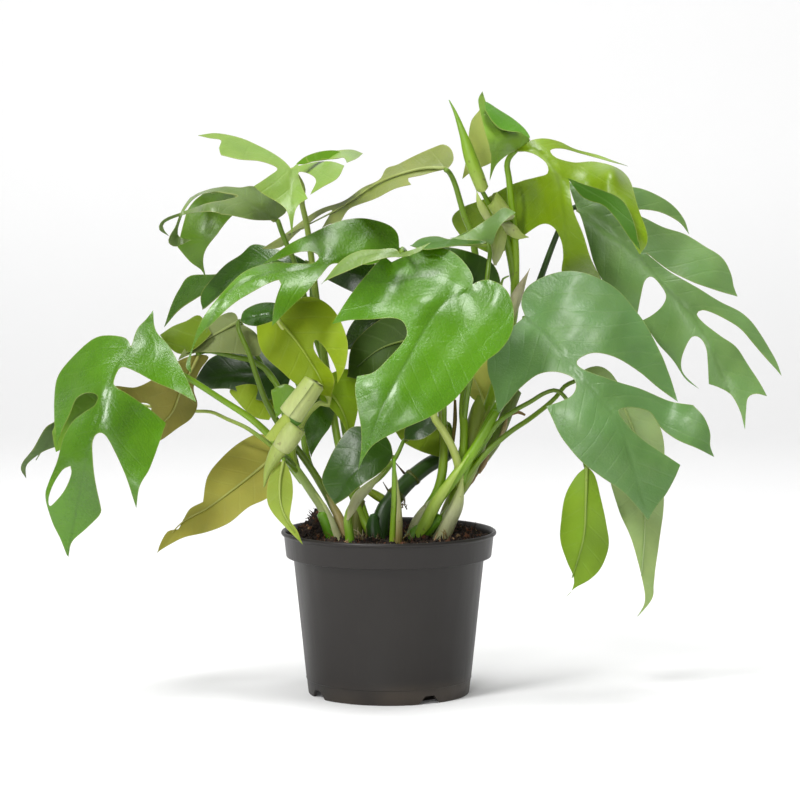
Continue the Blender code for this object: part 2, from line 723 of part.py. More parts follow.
             (571, 196), (575, 215), (584, 238), (592, 260), (602, 281)],
            [(602, 281), (584, 280), (563, 275), (563, 256), (561, 240), (554, 227), (543, 224),
             (528, 233), (510, 247), (495, 256)],
            [(495, 256), (476, 247), (461, 236), (452, 219), (463, 207), (486, 198), (512, 184),
             (536, 177), (548, 173), (546, 163), (534, 154), (516, 150)],
        ],
        bends=[(542, 139, -2), (628, 166, 24), (600, 156, 14), (614, 168, -22), (640, 254, -44),
               (632, 200, -34), (602, 281, 12), (495, 256, 22), (452, 219, 30), (500, 205, 22),
               (536, 190, 4), (590, 190, -22)],
        flaps=[
            dict(
                margin=[
                    [(526, 146), (530, 140)],
                    [(530, 140), (524, 130), (512, 121), (498, 112), (488, 104), (483, 91)],
                    [(483, 91), (479, 99), (481, 113), (485, 130), (490, 148), (490, 165), (489, 180)],
                    [(489, 180), (495, 165), (506, 155), (516, 150), (526, 146)],
                ],
                bends=[(522, 146, -8), (530, 140, -6), (483, 91, -2), (489, 180, -16), (487, 130, -26),
                       (505, 140, -22), (505, 116, 0), (516, 150, -6)],
            ),
            dict(
                margin=[
                    [(524, 148), (510, 140), (494, 120), (480, 110)],
                    [(480, 110), (472, 121), (469, 138), (466, 158), (462, 179)],
                    [(462, 179), (472, 171), (486, 165), (500, 158), (512, 152), (524, 148)],
                ],
                bends=[(524, 148, -7), (480, 110, 14), (462, 179, 22), (468, 140, 22), (500, 156, 6)],
            ),
        ],
    ),
    "upper_left_arch": dict(
        rib=[(446, 170, 0), (420, 171, 2), (380, 184, 8), (336, 212, 16), (262, 249, 22)],
        margin=[
            [(446, 170), (453, 160), (451, 149), (443, 144), (432, 148), (414, 157), (398, 164),
             (386, 168), (379, 180), (362, 189), (344, 200), (322, 209), (300, 222), (280, 238),
             (262, 249)],
            [(262, 249), (282, 246), (297, 234), (315, 219), (332, 210), (326, 220), (322, 227)],
            [(322, 227), (331, 223), (338, 225), (348, 211), (358, 205), (378, 197), (396, 189),
             (411, 184)],
            [(411, 184), (408, 178), (424, 174), (446, 170)],
        ],
        bends=[(443, 144, 12), (411, 184, -14), (398, 164, 16), (300, 222, 26), (322, 227, 8),
               (338, 225, 4)],
    ),
    "mid_flat": dict(
        rib=[(486, 243, -22), (460, 243, -28), (430, 243, -34), (410, 246, -37)],
        margin=[
            [(486, 243), (492, 234), (502, 223), (515, 214)],
            [(515, 214), (503, 209), (490, 218), (476, 227), (460, 234), (450, 239), (436, 237),
             (420, 239), (410, 246)],
            [(410, 246), (422, 249), (440, 248), (464, 246), (486, 243)],
        ],
        bends=[(515, 214, -16), (503, 210, -6), (436, 237, -22), (440, 248, -42)],
    ),
    "mid_back_olive": dict(
        rib=[(474, 302, -14), (468, 285, -15), (458, 266, -14), (440, 246, -10)],
        margin=[
            [(474, 302), (490, 300), (500, 286), (496, 268), (484, 257), (462, 250), (440, 246)],
            [(440, 246), (444, 262), (452, 282), (462, 296), (474, 302)],
        ],
        bends=[(496, 270, -8)],
    ),
    "gap_olive": dict(
        rib=[(487, 408, 26), (480, 388, 28), (470, 368, 30), (464, 346, 32)],
        margin=[
            [(487, 408), (470, 396), (458, 376), (464, 346)],
            [(464, 346), (482, 352), (493, 368), (496, 390), (487, 408)],
        ],
        bends=[(493, 368, 24), (458, 376, 34)],
    ),
    "hang_right": dict(
        rib=[(587, 466, -30), (586, 500, -36), (583, 540, -34), (566, 597, -24)],
        margin=[
            [(587, 466), (576, 476), (566, 495), (561, 518), (561, 540), (567, 562), (574, 579),
             (571, 592), (566, 597)],
            [(566, 597), (575, 588), (590, 579), (602, 566), (609, 546), (606, 524), (601, 498),
             (595, 476), (587, 466)],
        ],
        bends=[(561, 530, -22), (609, 540, -24)],
    ),
    "hang_right_long": dict(
        rib=[(575, 381, 2), (602, 380, -8), (626, 412, -16), (640, 460, -20), (644, 530, -18),
             (637, 617, -6)],
        margin=[
            [(575, 381), (584, 370), (598, 366), (610, 372), (622, 387), (642, 401), (656, 418),
             (663, 440), (664, 480), (662, 524), (656, 562), (654, 584), (652, 599), (637, 617)],
            [(637, 617), (645, 600), (641, 574), (631, 538), (619, 511), (611, 483), (607, 452),
             (604, 424), (594, 400), (575, 381)],
        ],
        bends=[(663, 450, -8), (611, 483, -4), (662, 524, -8)],
    ),
    "narrow_hanging": dict(
        rib=[(284, 459, -31), (280, 485, -34), (283, 512, -44), (303, 545, -54)],
        margin=[
            [(284, 459), (273, 470), (268, 484), (267, 500), (272, 512), (285, 527), (303, 545)],
            [(303, 545), (297, 530), (290, 520), (291, 508), (293, 492), (291, 475), (284, 459)],
        ],
        bends=[(267, 495, -34), (293, 495, -36)],
    ),
    "rolled_sheath": dict(
        rib=[(280, 454, -27), (290, 434, -35), (303, 410, -40), (315, 376, -39)],
        margin=[
            [(280, 454), (280, 440), (283, 428), (291, 411), (281, 410), (288, 398), (298, 382),
             (315, 375)],
            [(315, 375), (323, 390), (314, 406), (301, 424), (296, 433), (288, 446), (280, 454)],
        ],
        bends=[(283, 410, -32), (298, 383, -33), (322, 392, -34), (300, 424, -32)],
        flaps=[
            dict(
                margin=[
                    [(298, 404), (284, 414), (275, 424), (265, 437)],
                    [(265, 437), (272, 440), (284, 427), (298, 404)],
                ],
                bends=[(298, 404, -38), (284, 414, -35), (265, 437, -32), (284, 427, -35)],
            ),
            dict(
                margin=[
                    [(300, 392), (286, 384), (271, 390)],
                    [(271, 390), (276, 418)],
                    [(276, 418), (290, 406), (300, 392)],
                ],
                bends=[(300, 392, -39), (286, 384, -32), (271, 390, -28), (276, 418, -31),
                       (290, 406, -37)],
            ),
        ],
    ),
}


# Stems of each vine: the piece that the far end holds, places from there down,
# and radii in millimetres
STEMS = {
    "vine_left": (
        (
            "left_shield",
            [(133, 349, -39), (146, 357, -35), (160, 364, -32), (188, 378, -28), (224, 401, -22),
             (250, 418, -18), (269, 435, -14), (286, 455, -11), (296, 469, -9), (311, 491, -8),
             (324, 512, -6), (333, 540, -6), (335, 590, -6)],
            (1.7, 1.9, 2.7, 3.2),
        ),
        (
            "left_olive",
            [(201, 352, 13), (211, 351, 14), (237, 357, 14), (250, 360, 16), (263, 367, 16),
             (272, 377, 15), (279, 390, 12), (284, 410, 6), (288, 435, 0), (297, 470, -8)],
            (1.5, 1.9, 2.3),
        ),
        (
            "low_left_olive",
            [(283, 453, 9), (290, 466, 2), (302, 482, -6)],
            (1.6, 1.8),
        ),
        (
            "grey_left_hood",
            [(238, 323, 1), (239, 330, -4), (244, 342, -6), (250, 356, -6), (257, 377, -6),
             (265, 399, -6), (275, 418, -6), (284, 432, -6), (292, 442, -4), (310, 467, 0),
             (320, 483, 1), (332, 505, 1), (343, 535, -3), (336, 590, -6)],
            (1.5, 1.9, 2.4, 2.6),
        ),
        (
            "grey_left",
            [(241, 324, 13), (246, 334, 16), (254, 350, 18), (264, 368, 19), (275, 383, 13)],
            (1.3, 1.5),
        ),
        (
            "dark_back_left",
            [(294, 376, 34), (299, 388, 28), (302, 410, 20), (303, 430, 12), (305, 450, 4),
             (312, 470, 0)],
            (1.4, 1.8),
        ),
        (
            "olive_heart",
            [(329, 398, -20), (320, 403, -21), (311, 410, -20), (303, 422, -18), (297, 438, -15),
             (293, 452, -12), (296, 468, -9)],
            (1.5, 1.8),
        ),
        (
            "low_shiny",
            [(321, 396, 5), (314, 408, 7), (308, 425, 7), (306, 445, 5), (311, 468, 0)],
            (1.2, 1.5),
        ),
        (
            "left_tail",
            [(122, 401, 12), (135, 404, 14), (160, 408, 16), (191, 411, 18), (211, 412, 14),
             (227, 419, 9), (245, 427, 4), (260, 437, 0), (273, 447, -4), (290, 463, -9)],
            (0.8, 1.1, 1.6),
        ),
        (
            "rolled_sheath",
            [(280, 454, -27), (283, 456, -24), (287, 458, -17), (294, 466, -10)],
            (1.3, 1.8),
        ),
        (
            "narrow_hanging",
            [(284, 459, -31), (287, 462, -25), (290, 465, -17), (297, 472, -9)],
            (1.2, 1.7),
        ),
        (
            "olive_low",
            [(319, 384, -4), (317, 389, 2), (316, 400, 6), (314, 408, 7)],
            (1.2, 1.4),
        ),
    ),
    "vine_middle": (
        (
            None,
            [(448, 452, 20), (439, 459, 18), (427, 466, 15), (413, 477, 11), (402, 488, 7),
             (392, 500, 3), (383, 514, -1), (379, 540, -4), (378, 590, -4)],
            (4.6, 5.3, 5.6),
        ),
        (
            "top_light",
            [(293, 171, 3), (300, 181, 6), (303, 190, 8), (302, 203, 9), (307, 226, 11),
             (311, 255, 12), (316, 296, 13), (322, 340, 14), (328, 380, 14), (333, 412, 10),
             (338, 442, 6), (347, 480, 2), (361, 515, -1), (372, 540, -4), (374, 575, -4)],
            (1.5, 2.2, 2.4, 2.6),
        ),
        (
            "top_left_dark",
            [(278, 221, -6), (281, 230, -2), (287, 245, 3), (293, 258, 8), (300, 280, 12),
             (308, 310, 15), (318, 345, 18), (330, 380, 19), (341, 412, 17), (346, 437, 13),
             (353, 475, 7), (364, 512, 1), (376, 545, -4)],
            (1.5, 1.9, 2.3),
        ),
        (
            "dark_wings",
            [(308, 263, 27), (311, 275, 24), (312, 292, 20), (312, 320, 16)],
            (1.3, 1.7),
        ),
        (
            "small_olive",
            [(449, 425, 13), (451, 434, 15), (450, 446, 18), (443, 457, 18)],
            (1.3, 2.0),
        ),
    ),
    "vine_right": (
        (
            "long_lobes",
            [(401, 251, 7), (409, 262, 13), (420, 290, 20), (430, 330, 23), (438, 370, 18),
             (441, 388, 10), (442, 410, 2), (444, 444, -4), (442, 474, -6), (436, 494, -5),
             (424, 514, -3), (414, 545, -3), (416, 590, -2)],
            (1.6, 2.2, 2.8, 3.0),
        ),
        (
            "centre_heart",
            [(468, 291, -49), (470, 300, -43), (466, 330, -35), (450, 370, -30), (438, 400, -26),
             (434, 416, -24), (442, 429, -20), (452, 447, -15), (458, 465, -10), (460, 483, -5),
             (458, 496, -3), (450, 510, -2), (434, 534, -2), (424, 590, -2)],
            (1.6, 2.1, 2.6, 4.0),
        ),
        (
            "upper_left_arch",
            [(448, 171, 1), (452, 177, 4), (456, 187, 6), (460, 201, 8), (465, 218, 9), (471, 232, 9),
             (475, 253, 10), (478, 290, 10), (472, 340, 8), (465, 385, 4), (463, 410, 0),
             (464, 430, -3), (463, 459, -4), (461, 484, -3)],
            (1.5, 2.2, 2.4, 2.6),
        ),
        (
            "top_arch",
            [(514, 152, -5), (509, 158, -2), (507, 166, 0), (509, 179, 2), (511, 200, 3),
             (513, 221, 4), (515, 249, 5), (515, 278, 7), (514, 310, 10), (508, 340, 14),
             (500, 370, 14), (492, 395, 12), (484, 420, 9), (474, 445, 5), (465, 468, 1),
             (460, 486, -3)],
            (1.6, 2.6, 3.0, 3.2),
        ),
        (
            "mid_flat",
            [(488, 245, -21), (490, 253, -23), (489, 262, -25), (487, 280, -28), (484, 300, -26),
             (480, 330, -20), (474, 360, -12), (468, 390, -5), (464, 420, -2)],
            (1.3, 1.6, 1.8),
        ),
        (
            "mid_back_olive",
            [(476, 304, -13), (479, 312, -8), (481, 330, -1), (478, 350, 4), (471, 372, 6)],
            (1.2, 1.5),
        ),
        (
            "gap_olive",
            [(487, 410, 25), (486, 420, 22), (480, 437, 15), (472, 455, 7), (464, 473, 0)],
            (1.8, 3.2, 3.0),
        ),
        (
            "right_great",
            [(525, 319, -11), (524, 328, -5), (520, 345, 2), (513, 370, 3), (505, 395, 0),
             (495, 412, -3), (480, 441, -4), (470, 459, -4), (461, 482, -4)],
            (1.8, 2.6, 3.4, 3.6),
        ),
        (
            "hang_right",
            [(586, 468, -27), (583, 456, -22), (577, 430, -17), (570, 405, -14), (558, 391, -13),
             (545, 393, -13), (530, 402, -12), (512, 412, -11), (497, 424, -9), (486, 440, -7),
             (472, 461, -5)],
            (1.1, 1.3, 1.8),
        ),
        (
            "hang_right_long",
            [(573, 382, 2), (565, 386, 2), (556, 397, 1), (545, 407, 0), (528, 420, -4),
             (510, 432, -6), (488, 451, -7), (473, 469, -6), (462, 486, -4)],
            (1.3, 1.6, 2.0),
        ),
        (
            "pale_ridge",
            [(402, 252, -57), (402, 250, -46), (403, 249, -34), (408, 257, -26), (419, 290, -23),
             (430, 330, -18), (440, 370, -10), (444, 400, -4), (444, 428, -2)],
            (1.2, 1.6),
        ),
        (
            "sinus_olive",
            [(446, 339, 0), (448, 350, 4), (447, 370, 8), (442, 395, 7)],
            (1.2, 1.5),
        ),
        (
            "sinus_dark",
            [(428, 302, 28), (433, 312, 30), (438, 335, 28), (443, 362, 22), (441, 388, 11)],
            (1.2, 1.5),
        ),
        (
            "pale_spear",
            [(481, 189, -5), (486, 198, -3), (495, 214, 0), (505, 236, 3), (511, 260, 5),
             (515, 286, 8)],
            (1.3, 2.2, 2.4),
        ),
    ),
    "vine_back": (
        (
            "right_far",
            [(576, 206, 17), (570, 211, 17), (562, 223, 16), (552, 247, 17), (541, 277, 19),
             (533, 300, 22), (528, 330, 25), (524, 360, 26), (518, 385, 24)],
            (1.5, 1.9, 2.4, 3.0),
        ),
    ),
    "old_stem": (
        (
            "vine_back",
            [(516, 391, 23), (507, 413, 20), (497, 437, 18), (487, 452, 17), (476, 466, 18),
             (466, 480, 20), (456, 495, 22), (447, 515, 23), (441, 540, 23), (440, 590, 23)],
            (3.6, 4.4, 4.8),
        ),
    ),
    "shoot_oval": (
        (
            "low_oval",
            [(394, 459, -43), (394, 474, -41), (394, 500, -38), (393, 530, -35), (391, 590, -33)],
            (1.0, 1.9, 2.4),
        ),
    ),
    "shoot_small": (
        (
            "small_dark",
            [(403, 442, -12), (396, 457, -16), (383, 474, -20), (368, 487, -22), (355, 502, -24),
             (348, 518, -26), (350, 541, -26), (352, 590, -26)],
            (1.1, 1.8, 2.8, 3.1),
        ),
    ),
}

SPEAR = [(480, 188, -5), (479, 181, -6), (474, 166, -7), (467, 145, -6), (461, 126, -4), (455, 112, -2),
         (449, 100, 0)]
SPEAR_RADII = (1.3, 2.6, 2.9, 2.4, 1.2, 0.3)

GREENS = {
    "bright": (0.14, 0.36, 0.04),
    "light": (0.30, 0.50, 0.12),
    "olive": (0.22, 0.28, 0.03),
    "dark": (0.05, 0.14, 0.04),
    "grey": (0.10, 0.22, 0.08),
    "pale": (0.45, 0.60, 0.20),
}
COLOURS = {
    "left_shield": "bright", "left_tail": "grey", "left_olive": "olive", "low_left_olive": "olive",
    "top_left_dark": "grey", "top_light": "light", "long_lobes": "bright", "pale_ridge": "pale",
    "centre_heart": "bright", "olive_heart": "olive", "olive_low": "olive", "sinus_olive": "olive",
    "sinus_dark": "dark", "dark_back_left": "dark", "grey_left": "grey", "grey_left_hood": "dark",
    "dark_wings": "dark", "low_shiny": "dark", "low_oval": "grey", "small_dark": "dark",
    "small_olive": "olive", "right_great": "grey", "right_far": "grey", "top_arch": "olive",
    "upper_left_arch": "grey", "mid_flat": "pale", "mid_back_olive": "olive", "gap_olive": "olive",
    "hang_right": "bright", "hang_right_long": "grey", "narrow_hanging": "light", "rolled_sheath": "pale",
}


def make_leaf(name, leaf, home):
    """A blade with its lobes, flaps and the start of its midrib."""
    rib = leaf["rib"]
    controls = rib + leaf["bends"]
    blade = panel(name, leaf["margin"], controls, home, [leaf["window"]] if "window" in leaf else (), rib)
    others = []
    for flap in leaf.get("flaps", ()):
        others.append(panel(name + "_flap", flap["margin"], flap["bends"], home))
    if others:
        blade = combine(blade, others, "UNION", None)
    return blade


def make_stems(name, stems, home):
    """The joined stems of one vine."""
    made = []
    for number, (held, places, radii) in enumerate(stems):
        path = stem_path(places, radii, home.objects.get(held or ""))
        made.append(tube(name if not number else f"{name}_{number}", path, home))
    return combine(made[0], made[1:], "UNION", None)


def make_holes(cutters):
    """Holes in the soil, a little wider than the stems that stand in them."""
    holes = []
    for name, stems in STEMS.items():
        for number, (held, places, radii) in enumerate(stems):
            path = [p for p in stem_path(places, radii) if p[2] < 0.14]
            if len(path) > 1 and path[-1][2] < 0.09:
                wide = [(*p[:3], p[3] * 1.04 + SEAT_GAP * 1.15 * MM) for p in path]
                holes.append(tube(f"hole_{name}_{number}", wide, cutters, sides=4))
    return holes


def turned(name, profile, steps, home):
    """A body turned about the vertical axis from (radius, height) pairs in millimetres."""
    mesh = bpy.data.meshes.new(name)
    edges = [(i, i + 1) for i in range(len(profile) - 1)]
    mesh.from_pydata([(r * MM, 0.0, z * MM) for r, z in profile], edges, [])
    body = bpy.data.objects.new(name, mesh)
    home.objects.link(body)
    screw = body.modifiers.new("Turn", "SCREW")
    screw.steps = steps
    screw.render_steps = steps
    screw.use_merge_vertices = True
    screw.merge_threshold = 0.00001
    screw.use_normal_calculate = True
    return settle(body)


POT_PROFILE = (
    (0.0, 0.0), (PLATE_RADIUS, 0.0), (PLATE_RADIUS + 1.0, GUTTER_HEIGHT),
    (BASE_RADIUS - 1.6, GUTTER_HEIGHT),
    (BASE_RADIUS - 2.0, 0.0), (BASE_RADIUS, 0.0), (BASE_RADIUS + 1.0, 9.0), (BASE_RADIUS + 1.3, 9.5),
    (WALL_TOP_RADIUS, BAND_FOOT_HEIGHT - 0.6), (BAND_FOOT_RADIUS - 0.8, BAND_FOOT_HEIGHT - 0.2),
    (BAND_FOOT_RADIUS, BAND_FOOT_HEIGHT + 0.8), (BAND_TOP_RADIUS, 96.0), (RIM_RADIUS - 0.2, 96.8),
    (RIM_RADIUS, 97.8), (RIM_RADIUS - 0.6, 98.8), (RIM_RADIUS - 1.2, POT_HEIGHT),
    (RIM_RADIUS - 2.2, 98.6),
    (BAND_TOP_RADIUS - WALL, 96.2), (BAND_FOOT_RADIUS - WALL, BAND_FOOT_HEIGHT + 1.4),
    (WALL_TOP_RADIUS - WALL, BAND_FOOT_HEIGHT + 0.6), (BASE_RADIUS - WALL + 0.6, GUTTER_HEIGHT + WALL),
    (PLATE_RADIUS - 0.2, GUTTER_HEIGHT + WALL), (PLATE_RADIUS - 1.2, WALL), (0.0, WALL),
)


def make_pot(home, cutters):
    pot = turned("pot", POT_PROFILE, POT_STEPS, home)
    notches = []
    for number, angle in enumerate(NOTCH_ANGLES):
        top, foot = NOTCH_TOP_WIDTH / 2, NOTCH_FOOT_WIDTH / 2
        lift = foot + 4.0 * (foot - top) / NOTCH_HEIGHT
        section = ((-lift, -4.0), (lift, -4.0), (top, NOTCH_HEIGHT), (-top, NOTCH_HEIGHT))
        turn = math.radians(angle - 90.0)
        points = []
        for out in (42.0, 56.0):
            for side, height in section:
                x = out * math.cos(turn) - side * math.sin(turn)
                y = out * math.sin(turn) + side * math.cos(turn)
                points.append((x * MM, y * MM, height * MM))
        faces = [(0, 1, 2, 3), (7, 6, 5, 4)]
        faces += [(i + 4, (i + 1) % 4 + 4, (i + 1) % 4, i) for i in range(4)]
        cutter = mesh_object(f"notch_{number}", points, faces, cutters)
        work = bmesh.new()
        work.from_mesh(cutter.data)
        bmesh.ops.recalc_face_normals(work, faces=work.faces)
        work.to_mesh(cutter.data)
        work.free()
        notches.append(cutter)
    return combine(pot, notches, "DIFFERENCE", cutters)


def heap(x, y):
    """How far the crumbled soil stands above its level, in millimetres."""
    rise = 1.6 * math.sin(0.21 * x + 1.0) * math.sin(0.17 * y + 0.4)
    rise += 1.1 * math.sin(0.47 * x - 0.31 * y) + 0.8 * math.sin(0.73 * y + 0.2 * x)
    for cx, cy, height, spread in HEAPS:
        away = ((x - cx) ** 2 + (y - cy) ** 2) / spread**2
        rise += height * math.exp(-away)
    return rise


def make_soil(home, cutters):
    """Soil that fills the pot to just under its rim, with a heaped top."""
    inner = WALL + SEAT_GAP + 0.1
    profile = [
        (0.0, inner), (PLATE_RADIUS - 1.8, inner),
        (PLATE_RADIUS - 0.6, GUTTER_HEIGHT + inner), (BASE_RADIUS - inner + 0.4, GUTTER_HEIGHT + inner),
        (WALL_TOP_RADIUS - inner, BAND_FOOT_HEIGHT + 1.0), (BAND_FOOT_RADIUS - inner - 0.3, 86.0),
        (BAND_FOOT_RADIUS - inner, SOIL_LEVEL - 1.5),
    ]
    profile += [(ring, SOIL_LEVEL) for ring in reversed(SOIL_RINGS)] + [(0.0, SOIL_LEVEL)]
    soil = turned("soil", profile, SOIL_STEPS, home)
    for vert in soil.data.vertices:
        if vert.co.z > (SOIL_LEVEL - 0.5) * MM:
            vert.co.z += heap(vert.co.x / MM, vert.co.y / MM) * MM
    return combine(soil, make_holes(cutters), "DIFFERENCE", cutters)


def main():
    clear_scene()
    home = collection(NAME)
    cutters = collection("cutters", hidden=True)
    paints = {key: material(f"leaf_{key}", colour, 0.35) for key, colour in GREENS.items()}
    for name, leaf in LEAVES.items():
        made = make_leaf(name, leaf, home)
        made.data.materials.append(paints[COLOURS[name]])
    spear = tube("pale_spear", stem_path(SPEAR, SPEAR_RADII), home)
    spear.data.materials.append(paints["pale"])
    for name, stems in STEMS.items():
        made = make_stems(name, stems, home)
        made.data.materials.append(paints["olive" if name == "old_stem" else "light"])
    pot = make_pot(home, cutters)
    pot.data.materials.append(material("pot_plastic", (0.054, 0.047, 0.043), 0.4))
    soil = make_soil(home, cutters)
    soil.data.materials.append(material("soil_crumbs", (0.035, 0.02, 0.012), 0.95))
    for obj in home.objects:
        obj.data.name = obj.name


main()
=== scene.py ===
# %% [markdown]
# # A mini monstera in its nursery pot
#
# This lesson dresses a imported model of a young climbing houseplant. The plant
# is a handful of arching stalks with deeply cut leaves, standing in dark soil
# in a plain plastic pot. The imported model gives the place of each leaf. Here
# each leaf gets its fine margin, folds, veins and finish.

# %% Load the frame
import json
import math

import bmesh
import bpy
import numpy as np
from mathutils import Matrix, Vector
from mathutils.geometry import delaunay_2d_cdt

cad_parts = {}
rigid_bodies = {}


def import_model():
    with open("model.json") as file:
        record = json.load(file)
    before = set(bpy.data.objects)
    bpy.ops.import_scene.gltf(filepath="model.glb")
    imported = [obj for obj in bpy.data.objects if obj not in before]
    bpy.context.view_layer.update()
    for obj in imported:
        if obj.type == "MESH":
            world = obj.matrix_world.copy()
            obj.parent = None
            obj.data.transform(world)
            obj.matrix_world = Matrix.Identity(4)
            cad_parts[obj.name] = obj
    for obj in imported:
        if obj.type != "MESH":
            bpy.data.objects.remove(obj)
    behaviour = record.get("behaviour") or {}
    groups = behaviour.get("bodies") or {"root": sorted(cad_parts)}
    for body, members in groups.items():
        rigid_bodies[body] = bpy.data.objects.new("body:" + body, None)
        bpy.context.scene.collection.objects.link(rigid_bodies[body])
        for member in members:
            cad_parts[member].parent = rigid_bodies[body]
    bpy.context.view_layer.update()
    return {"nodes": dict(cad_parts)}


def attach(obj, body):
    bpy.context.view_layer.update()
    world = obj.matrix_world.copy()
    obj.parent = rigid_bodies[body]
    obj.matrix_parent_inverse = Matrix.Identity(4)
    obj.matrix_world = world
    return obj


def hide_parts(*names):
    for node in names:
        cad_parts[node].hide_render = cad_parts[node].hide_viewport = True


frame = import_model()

MM = 0.001


def added(name, data):
    """A new object at the origin of the scene."""
    made = bpy.data.objects.new(name, data)
    bpy.context.scene.collection.objects.link(made)
    return made


print("nodes in the frame:", len(frame["nodes"]))

# %% [markdown]
# ## Where the plant is seen from
#
# The leaves are laid out on the front view: a place is an across and a down
# value on an 800 pixel square, and a depth in millimetres behind the pot's
# axis. The camera stands at the same eye, so each leaf shows where its layout
# puts it. Its long lens keeps the perspective of a product shot.

# %% The front view and its camera
EYE = Vector((0.0068, -1.8, 0.33))
AIM = Vector((0.0068, 0.0, 0.178))
PIXELS_PER_SLOPE = 2990.0
VIEW_MIDDLE = 400.0
SENSOR_MM = 36.0
PIXEL_MM = 0.602

FORWARD = (AIM - EYE).normalized()
RIGHT = FORWARD.cross(Vector((0.0, 0.0, 1.0))).normalized()
UP = RIGHT.cross(FORWARD)


def seen(places, depths):
    """Metre points, one a row, that the front view shows at these places."""
    places = np.asarray(places, float)
    rays = np.array(FORWARD)[None] * PIXELS_PER_SLOPE
    rays = rays + (places[:, :1] - VIEW_MIDDLE) * np.array(RIGHT)
    rays = rays + (VIEW_MIDDLE - places[:, 1:2]) * np.array(UP)
    reach = (np.asarray(depths, float) * MM - EYE.y) / rays[:, 1]
    return np.array(EYE)[None] + rays * reach[:, None]


camera = added("camera", bpy.data.cameras.new("camera"))
camera.data.lens = PIXELS_PER_SLOPE / (2 * VIEW_MIDDLE) * SENSOR_MM
camera.data.sensor_width = SENSOR_MM
camera.data.clip_end = 30.0
camera.location = EYE
camera.rotation_euler = FORWARD.to_track_quat("-Z", "Y").to_euler()
bpy.context.scene.camera = camera
print("lens, mm:", round(camera.data.lens, 1))

# %% [markdown]
# ## A small kit for materials
#
# Each finish is a graph of shader nodes. Writing the graph as plain sums keeps
# it readable, so a socket is wrapped in a class whose operators add the Math
# nodes. Colours are mixed by Mix nodes, since a Math node turns them grey.

# %% Sockets as numbers
class Wire:
    """A shader socket; an expression on wires adds its Math nodes."""

    def __init__(self, paint, socket):
        self.paint = paint
        self.socket = socket

    def math(self, operation, other=None, swapped=False):
        pair = [self] if other is None else ([other, self] if swapped else [self, other])
        return self.paint.node("ShaderNodeMath", {"operation": operation}, dict(enumerate(pair)))

    def __add__(self, other):
        return self.math("ADD", other)

    def __sub__(self, other):
        return self.math("SUBTRACT", other)

    def __rsub__(self, other):
        return self.math("SUBTRACT", other, swapped=True)

    def __mul__(self, other):
        return self.math("MULTIPLY", other)

    def __truediv__(self, other):
        return self.math("DIVIDE", other)

    def __abs__(self):
        return self.math("ABSOLUTE")

    __radd__ = __add__
    __rmul__ = __mul__

    def wave(self):
        """Distance from the nearest whole number, from 0 to 0.5."""
        return abs(self - self.math("ROUND"))

    def between(self, low, high):
        """0 at low, 1 at high and smooth between them."""
        inputs = {"Value": self, "From Min": low, "From Max": high}
        return self.paint.node("ShaderNodeMapRange", {"interpolation_type": "SMOOTHSTEP"}, inputs)


class Graph:
    """A node tree under construction."""

    def __init__(self, tree):
        self.tree = tree
        self.tree.nodes.clear()

    def node(self, kind, settings=None, inputs=None, output=0):
        """Adds a node: its settings first, then the values or links of its sockets."""
        made = self.tree.nodes.new(kind)
        for key, value in (settings or {}).items():
            setattr(made, key, value)
        for key, value in (inputs or {}).items():
            socket = made.inputs[key]
            if isinstance(value, Wire):
                self.tree.links.new(value.socket, socket)
            elif socket.type == "RGBA":
                socket.default_value = (*value, 1.0)
            else:
                socket.default_value = value
        return Wire(self, made.outputs[output]) if made.outputs else None


class Paint(Graph):
    """A material under construction."""

    def __init__(self, name):
        self.material = bpy.data.materials.new(name)
        self.material.use_nodes = True
        super().__init__(self.material.node_tree)

    def number(self, name):
        return self.node("ShaderNodeAttribute", {"attribute_name": name}, output="Fac")

    def tint(self, name):
        return self.node("ShaderNodeAttribute", {"attribute_name": name}, output="Color")

    def place(self, stretch=(1.0, 1.0, 1.0)):
        spot = self.node("ShaderNodeTexCoord", output="Object")
        return self.node("ShaderNodeMapping", inputs={"Vector": spot, "Scale": stretch})

    def noise(self, scale, detail=3.0, roughness=0.5, where=None):
        inputs = {"Vector": where or self.place(), "Scale": scale}
        inputs.update({"Detail": detail, "Roughness": roughness})
        return self.node("ShaderNodeTexNoise", inputs=inputs)

    def mix(self, share, first, second, blend="MIX"):
        settings = {"data_type": "RGBA", "blend_type": blend}
        return self.node("ShaderNodeMix", settings, {0: share, 6: first, 7: second}, output=2)

    def bump(self, height, strength, distance):
        inputs = {"Height": height, "Strength": strength, "Distance": distance}
        return self.node("ShaderNodeBump", inputs=inputs)

    def finish(self, **inputs):
        named = {key.replace("_", " "): value for key, value in inputs.items()}
        shader = self.node("ShaderNodeBsdfPrincipled", inputs=named)
        self.node("ShaderNodeOutputMaterial", inputs={"Surface": shader})
        return self.material


print("material kit ready")

# %% [markdown]
# ## The finish of a leaf
#
# A leaf has a glossy upper face and a paler, duller lower face. Its side veins
# are faint: they leave the midrib at a slant and run in near parallel to the
# margin. Each blade carries how far a point lies along its midrib and aside of
# it, so the veins are lines of one slanted sum of the two. They are finer than
# the mesh, so the shader draws them, as it does the crepe-like grain that
# breaks up the gloss. The blade's own green is an attribute too, and one
# finish then serves many leaves.

# %% Leaf finishes
VEIN_PITCH_MM = 11.0
VEIN_SLANT = 0.75
VEIN_WANDER_MM = 7.0


